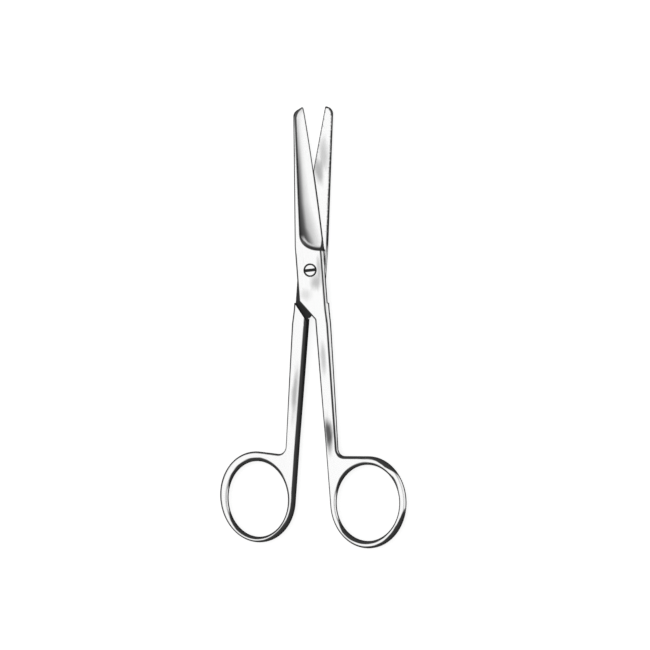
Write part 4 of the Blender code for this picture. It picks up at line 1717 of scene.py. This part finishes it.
class SteelShop:
    """Builds the shared node groups once, and the materials that use them."""

    def __init__(self) -> None:
        """Makes the three groups."""
        self.polish = self.polish_group()
        self.shade_patch = self.shade_patch_group()
        self.rings = self.rings_group()

    @staticmethod
    def polish_group() -> bpy.types.NodeTree:
        """Polishing lines along Y, grinding lines across where Ground is 1, clouds and hairline scratches.

        Returns:
            A group that gives the shade, the haze and the height.
        """
        inputs = {"Vector": "Vector"} | dict.fromkeys(("Ground", "Lines", "Clouds", "Scratches"), "Float")
        outputs = dict.fromkeys(("Shade", "Haze", "Height"), "Float")
        graph = Graph.group("steel_polish", inputs, outputs)
        given = graph.node("NodeGroupInput").outputs
        vector = given["Vector"]
        polished, ground = graph.noise(vector, Grain.POLISHED), graph.noise(vector, Grain.GROUND)
        lines = graph.blend(given["Ground"], polished, ground)
        hair = graph.fit(graph.noise(vector, Grain.HAIRLINES), MARKS.hairlines)
        more_hair = graph.fit(graph.noise(vector, Grain.MORE_HAIRLINES), MARKS.more_hairlines)
        marks = graph.math("MULTIPLY", graph.math("MAXIMUM", hair, more_hair), given["Scratches"])
        line_part = graph.math("MULTIPLY", graph.math("SUBTRACT", lines, 0.5), given["Lines"])
        clouds = graph.noise(vector, Grain.CLOUDS)
        cloud_part = graph.math("MULTIPLY", graph.math("SUBTRACT", clouds, 0.5), given["Clouds"])
        shade = graph.math("ADD", graph.math("ADD", line_part, cloud_part), 1.0)
        shade = graph.math("SUBTRACT", shade, graph.math("MULTIPLY", marks, MARKS.hairline_shade))
        haze = graph.math("ADD", cloud_part, graph.math("MULTIPLY", marks, MARKS.hairline_haze))
        height = graph.math("SUBTRACT", lines, marks)
        graph.node("NodeGroupOutput", {"Shade": shade, "Haze": haze, "Height": height})
        return graph.tree

    @staticmethod
    def shade_patch_group() -> bpy.types.NodeTree:
        """A mask for a patch of painted shade that is 1 at the middle of an ellipse and fades out at its rim,
        unevenly.

        Returns:
            A group that gives the mask.
        """
        inputs = dict.fromkeys(("Vector", "Centre", "Scale", "Turn"), "Vector")
        graph = Graph.group("painted_shade_patch", inputs, {"Mask": "Float"})
        given = graph.node("NodeGroupInput").outputs
        moved = graph.vector_math("SUBTRACT", given["Vector"], given["Centre"])
        turned = graph.mapped(moved, rotation=given["Turn"])
        length = graph.vector_math("LENGTH", graph.vector_math("MULTIPLY", turned, given["Scale"]))
        uneven = graph.math("SUBTRACT", graph.noise(given["Vector"], Grain.SHADE_PATCH_RIM), 0.5)
        reach = graph.math("ADD", length, graph.math("MULTIPLY", uneven, MARKS.shade_patch_unevenness))
        graph.node("NodeGroupOutput", {"Mask": graph.fit(reach, MARKS.shade_patch_rim, (1.0, 0.0))})
        return graph.tree

    @staticmethod
    def rings_group() -> bpy.types.NodeTree:
        """Fine rings round Z, left by the turning tool.

        Returns:
            A group that gives the shade and the height.
        """
        graph = Graph.group("turned_rings", {"Vector": "Vector"}, {"Shade": "Float", "Height": "Float"})
        given = graph.node("NodeGroupInput").outputs["Vector"]
        radius = graph.vector_math("LENGTH", graph.vector_math("MULTIPLY", given, (1.0, 1.0, 0.0)))
        count = graph.math("MULTIPLY", radius, MARKS.rings_per_metre)
        along = graph.node("CombineXYZ", {0: count}).outputs[0]
        noise = graph.node("TexNoise", {"Vector": along, "Scale": 1.0, "Detail": MARKS.rings_detail})
        rings = noise.outputs["Fac"]
        shade = graph.fit(rings, MARKS.rings, MARKS.ring_shades)
        graph.node("NodeGroupOutput", {"Shade": shade, "Height": rings})
        return graph.tree

    def steel(self, finish: SteelFinish, turned: bool = False) -> bpy.types.Material:
        """A steel material.

        Args:
            finish: its values.
            turned: whether turning rings replace the polishing lines.

        Returns:
            The material.
        """
        material = bpy.data.materials.new(finish.name)
        graph = Graph.of(material)
        where = graph.node("TexCoord").outputs["Object"]
        # The sides mask carries the painted shade on walls, lines and the lap's recess
        ground, sides = graph.mask("ground"), graph.mask("sides")
        inputs = {
            "Vector": graph.mapped(where, rotation=(0.0, 0.0, -finish.turn)),
            "Ground": graph.math("MAXIMUM", ground, graph.mask("inner")),
            "Lines": finish.lines,
            "Clouds": finish.clouds,
            "Scratches": finish.scratches,
        }
        polish = graph.node("Group", inputs, node_tree=self.polish).outputs
        shade, height = polish["Shade"], polish["Height"]
        if turned:
            rings = graph.node("Group", {"Vector": where}, node_tree=self.rings).outputs
            shade, height = graph.math("MULTIPLY", shade, rings["Shade"]), rings["Height"]
        # Patches of painted shade, standing in for dimmer reflections
        for shade_patch in finish.shade_patches:
            (x, y), (reach_x, reach_y) = shade_patch.centre, shade_patch.reach
            inputs = {
                "Vector": where,
                "Centre": (x * MM, y * MM, 0.0),
                "Scale": (1 / (reach_x * MM), 1 / (reach_y * MM), 0.0),
                "Turn": (0.0, 0.0, shade_patch.turn),
            }
            patch = graph.node("Group", inputs, node_tree=self.shade_patch).outputs["Mask"]
            shade = graph.darken(shade, patch, shade_patch.strength)
        # Painted shade from the masks: dark walls and lines, the lap's recess, and the ground face's shading
        shade = graph.darken(shade, sides, finish.painted_side_shade)
        shade = graph.darken(shade, graph.mask("shade"), finish.ground_shade)
        level = graph.math("MULTIPLY", shade, finish.grey, clamp=True)
        plain = graph.blend(ground, finish.roughness, finish.ground_roughness)
        haze = graph.math("MULTIPLY", polish["Haze"], MARKS.haze)
        bump = graph.node("Bump", {"Strength": 1.0, "Distance": finish.bump, "Height": height})
        inputs = {
            "Base Color": graph.node("CombineColor", {0: level, 1: level, 2: level}).outputs[0],
            # The painted shade turns the steel non-metal and without sheen, so that it reads black
            "Metallic": graph.math("SUBTRACT", 1.0, graph.fit(sides, MARKS.painted_shade_matte)),
            "Roughness": graph.math("ADD", plain, haze, clamp=True),
            "Normal": bump.outputs[0],
            "Specular IOR Level": 0.0,
        }
        graph.node("OutputMaterial", {"Surface": graph.node("BsdfPrincipled", inputs).outputs[0]})
        return material


# Studio


@dataclass(frozen=True)
class Studio:
    """White floor, soft light and the camera of the photograph."""

    zenith: float = 1.14
    horizon: float = 0.7
    bright_from: float = 0.78
    dark_below: float = 0.4
    toward_upper_left: float = 0.22
    lamp_size: float = 1.6
    lamp_height: float = 1.8
    lamp_power: float = 14.0
    lamp_offset: float = 0.3
    paper: float = 0.25
    glow: float = 0.79
    floor_z: float = -0.02 * MM
    floor_size: float = 12.0
    camera_tilt: float = math.radians(13.0)
    camera_distance: float = 2.0
    target: tuple[float, float, float] = (4.004 * MM, -17.93 * MM, 0.0)
    view_width: float = 213.1 * MM
    sensor: float = 36.0

    def build(self) -> None:
        """Makes the world, lamp, floor and camera, and sets plain colours."""
        self.world()
        self.lamp()
        self.floor()
        self.camera()
        bpy.context.scene.view_settings.view_transform = "Standard"

    def world(self) -> None:
        """A bright sky that darkens towards the horizon, sooner on the lower right. The camera sees white."""
        world = bpy.data.worlds.new("studio")
        graph = Graph.of(world)
        toward = graph.node("TexCoord").outputs["Generated"]
        lean = self.toward_upper_left
        height = graph.vector_math("DOT_PRODUCT", toward, (-lean, lean, 1.0))
        sky = graph.fit(height, (self.dark_below, self.bright_from), (self.horizon, self.zenith))
        strength = graph.blend(graph.node("LightPath").outputs["Is Camera Ray"], sky, 1.0)
        background = graph.node("Background", {"Color": WHITE, "Strength": strength})
        graph.node("OutputWorld", {"Surface": background.outputs[0]})
        bpy.context.scene.world = world

    def lamp(self) -> None:
        """A large soft lamp overhead, for the floor and its shadows."""
        data = bpy.data.lights.new("overhead", "AREA")
        data.size, data.energy = self.lamp_size, self.lamp_power
        lamp = bpy.data.objects.new("overhead", data)
        place = Vector((-self.lamp_offset, self.lamp_offset, self.lamp_height))
        lamp.location = place
        lamp.rotation_euler = (-place).to_track_quat("-Z", "Y").to_euler()
        lamp.visible_glossy = lamp.visible_camera = False
        bpy.context.scene.collection.objects.link(lamp)

    def floor(self) -> None:
        """A white floor that keeps the shadow, and that isn't seen from below."""
        half = self.floor_size / 2
        corners = np.array([(-half, -half), (half, -half), (half, half), (-half, half)])
        vertices = np.column_stack([corners, np.full(4, self.floor_z)])
        floor = mesh_object("floor", vertices, np.array([[0, 1, 2, 3]]))
        material = bpy.data.materials.new("white_paper")
        graph = Graph.of(material)
        path = graph.node("LightPath").outputs
        seen = graph.math("ADD", path["Is Camera Ray"], path["Is Glossy Ray"])
        seen = graph.math("ADD", seen, path["Is Transmission Ray"], clamp=True)
        paper = graph.node("BsdfDiffuse", {"Color": (self.paper, self.paper, self.paper, 1.0)})
        glow = graph.node("Emission", {"Color": WHITE, "Strength": graph.math("MULTIPLY", seen, self.glow)})
        both = graph.node("AddShader", {0: paper.outputs[0], 1: glow.outputs[0]})
        behind = graph.node("NewGeometry").outputs["Backfacing"]
        clear = graph.node("BsdfTransparent")
        surface = graph.node("MixShader", {0: behind, 1: both.outputs[0], 2: clear.outputs[0]})
        graph.node("OutputMaterial", {"Surface": surface.outputs[0]})
        floor.data.materials.append(material)

    def camera(self) -> None:
        """A long lens from the front, tilted to the right as in the photograph, with +Y up in the picture."""
        cos, sin = math.cos(self.camera_tilt), math.sin(self.camera_tilt)
        data = bpy.data.cameras.new("camera")
        data.sensor_width = self.sensor
        data.lens = self.sensor * self.camera_distance / self.view_width
        camera = bpy.data.objects.new("camera", data)
        position = Vector(self.target) + self.camera_distance * Vector((sin, 0.0, cos))
        turned = Matrix(((cos, 0.0, sin), (0.0, 1.0, 0.0), (-sin, 0.0, cos)))
        camera.matrix_world = Matrix.Translation(position) @ turned.to_4x4()
        bpy.context.scene.collection.objects.link(camera)
        bpy.context.scene.camera = camera


UPPER_FINISH = SteelFinish(
    name="polished_upper",
    turn=UPPER_HALF.rest_turn,
    # Patches of painted shade, standing in for dimmer reflections
    shade_patches=(
        ShadePatch((2.0, -3.7), (2.7, 4.2), 0.15, 0.42),
        ShadePatch((-1.3, -8.0), (2.9, 2.9), 0.0, 0.2),
        ShadePatch((2.9, 1.0), (1.1, 4.6), math.radians(-4.0), 0.36),
        ShadePatch((4.4, -28.6), (1.4, 8.0), math.radians(-4.0), 0.36),
        ShadePatch((6.1, -53.9), (2.0, 8.5), math.radians(-4.0), 0.88),
    ),
)
LOWER_FINISH = SteelFinish(
    name="polished_lower",
    turn=-LOWER_HALF.rest_turn,
    # Patches of painted shade, standing in for dimmer reflections
    shade_patches=(
        ShadePatch((-5.2, -40.5), (1.4, 13.0), math.radians(4.0), 0.5),
        ShadePatch((4.1, 38.2), (2.3, 8.0), math.radians(-4.0), 0.36),
        ShadePatch((2.2, 32.8), (2.2, 6.5), math.radians(-12.0), 0.5),
    ),
)
SCREW_FINISH = SteelFinish(
    name="satin_screw",
    roughness=0.2,
    ground_roughness=0.2,
    lines=0.04,
    clouds=0.04,
    scratches=0.3,
    bump=0.001 * MM,
)


def main() -> None:
    """Builds the scene."""
    logging.basicConfig(level=logging.INFO, format="%(message)s")
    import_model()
    Studio().build()
    shop = SteelShop()
    UPPER_HALF.build(shop.steel(UPPER_FINISH))
    LOWER_HALF.build(shop.steel(LOWER_FINISH))
    PivotScrew().build(shop.steel(SCREW_FINISH, turned=True))


if __name__ == "__main__":
    main()
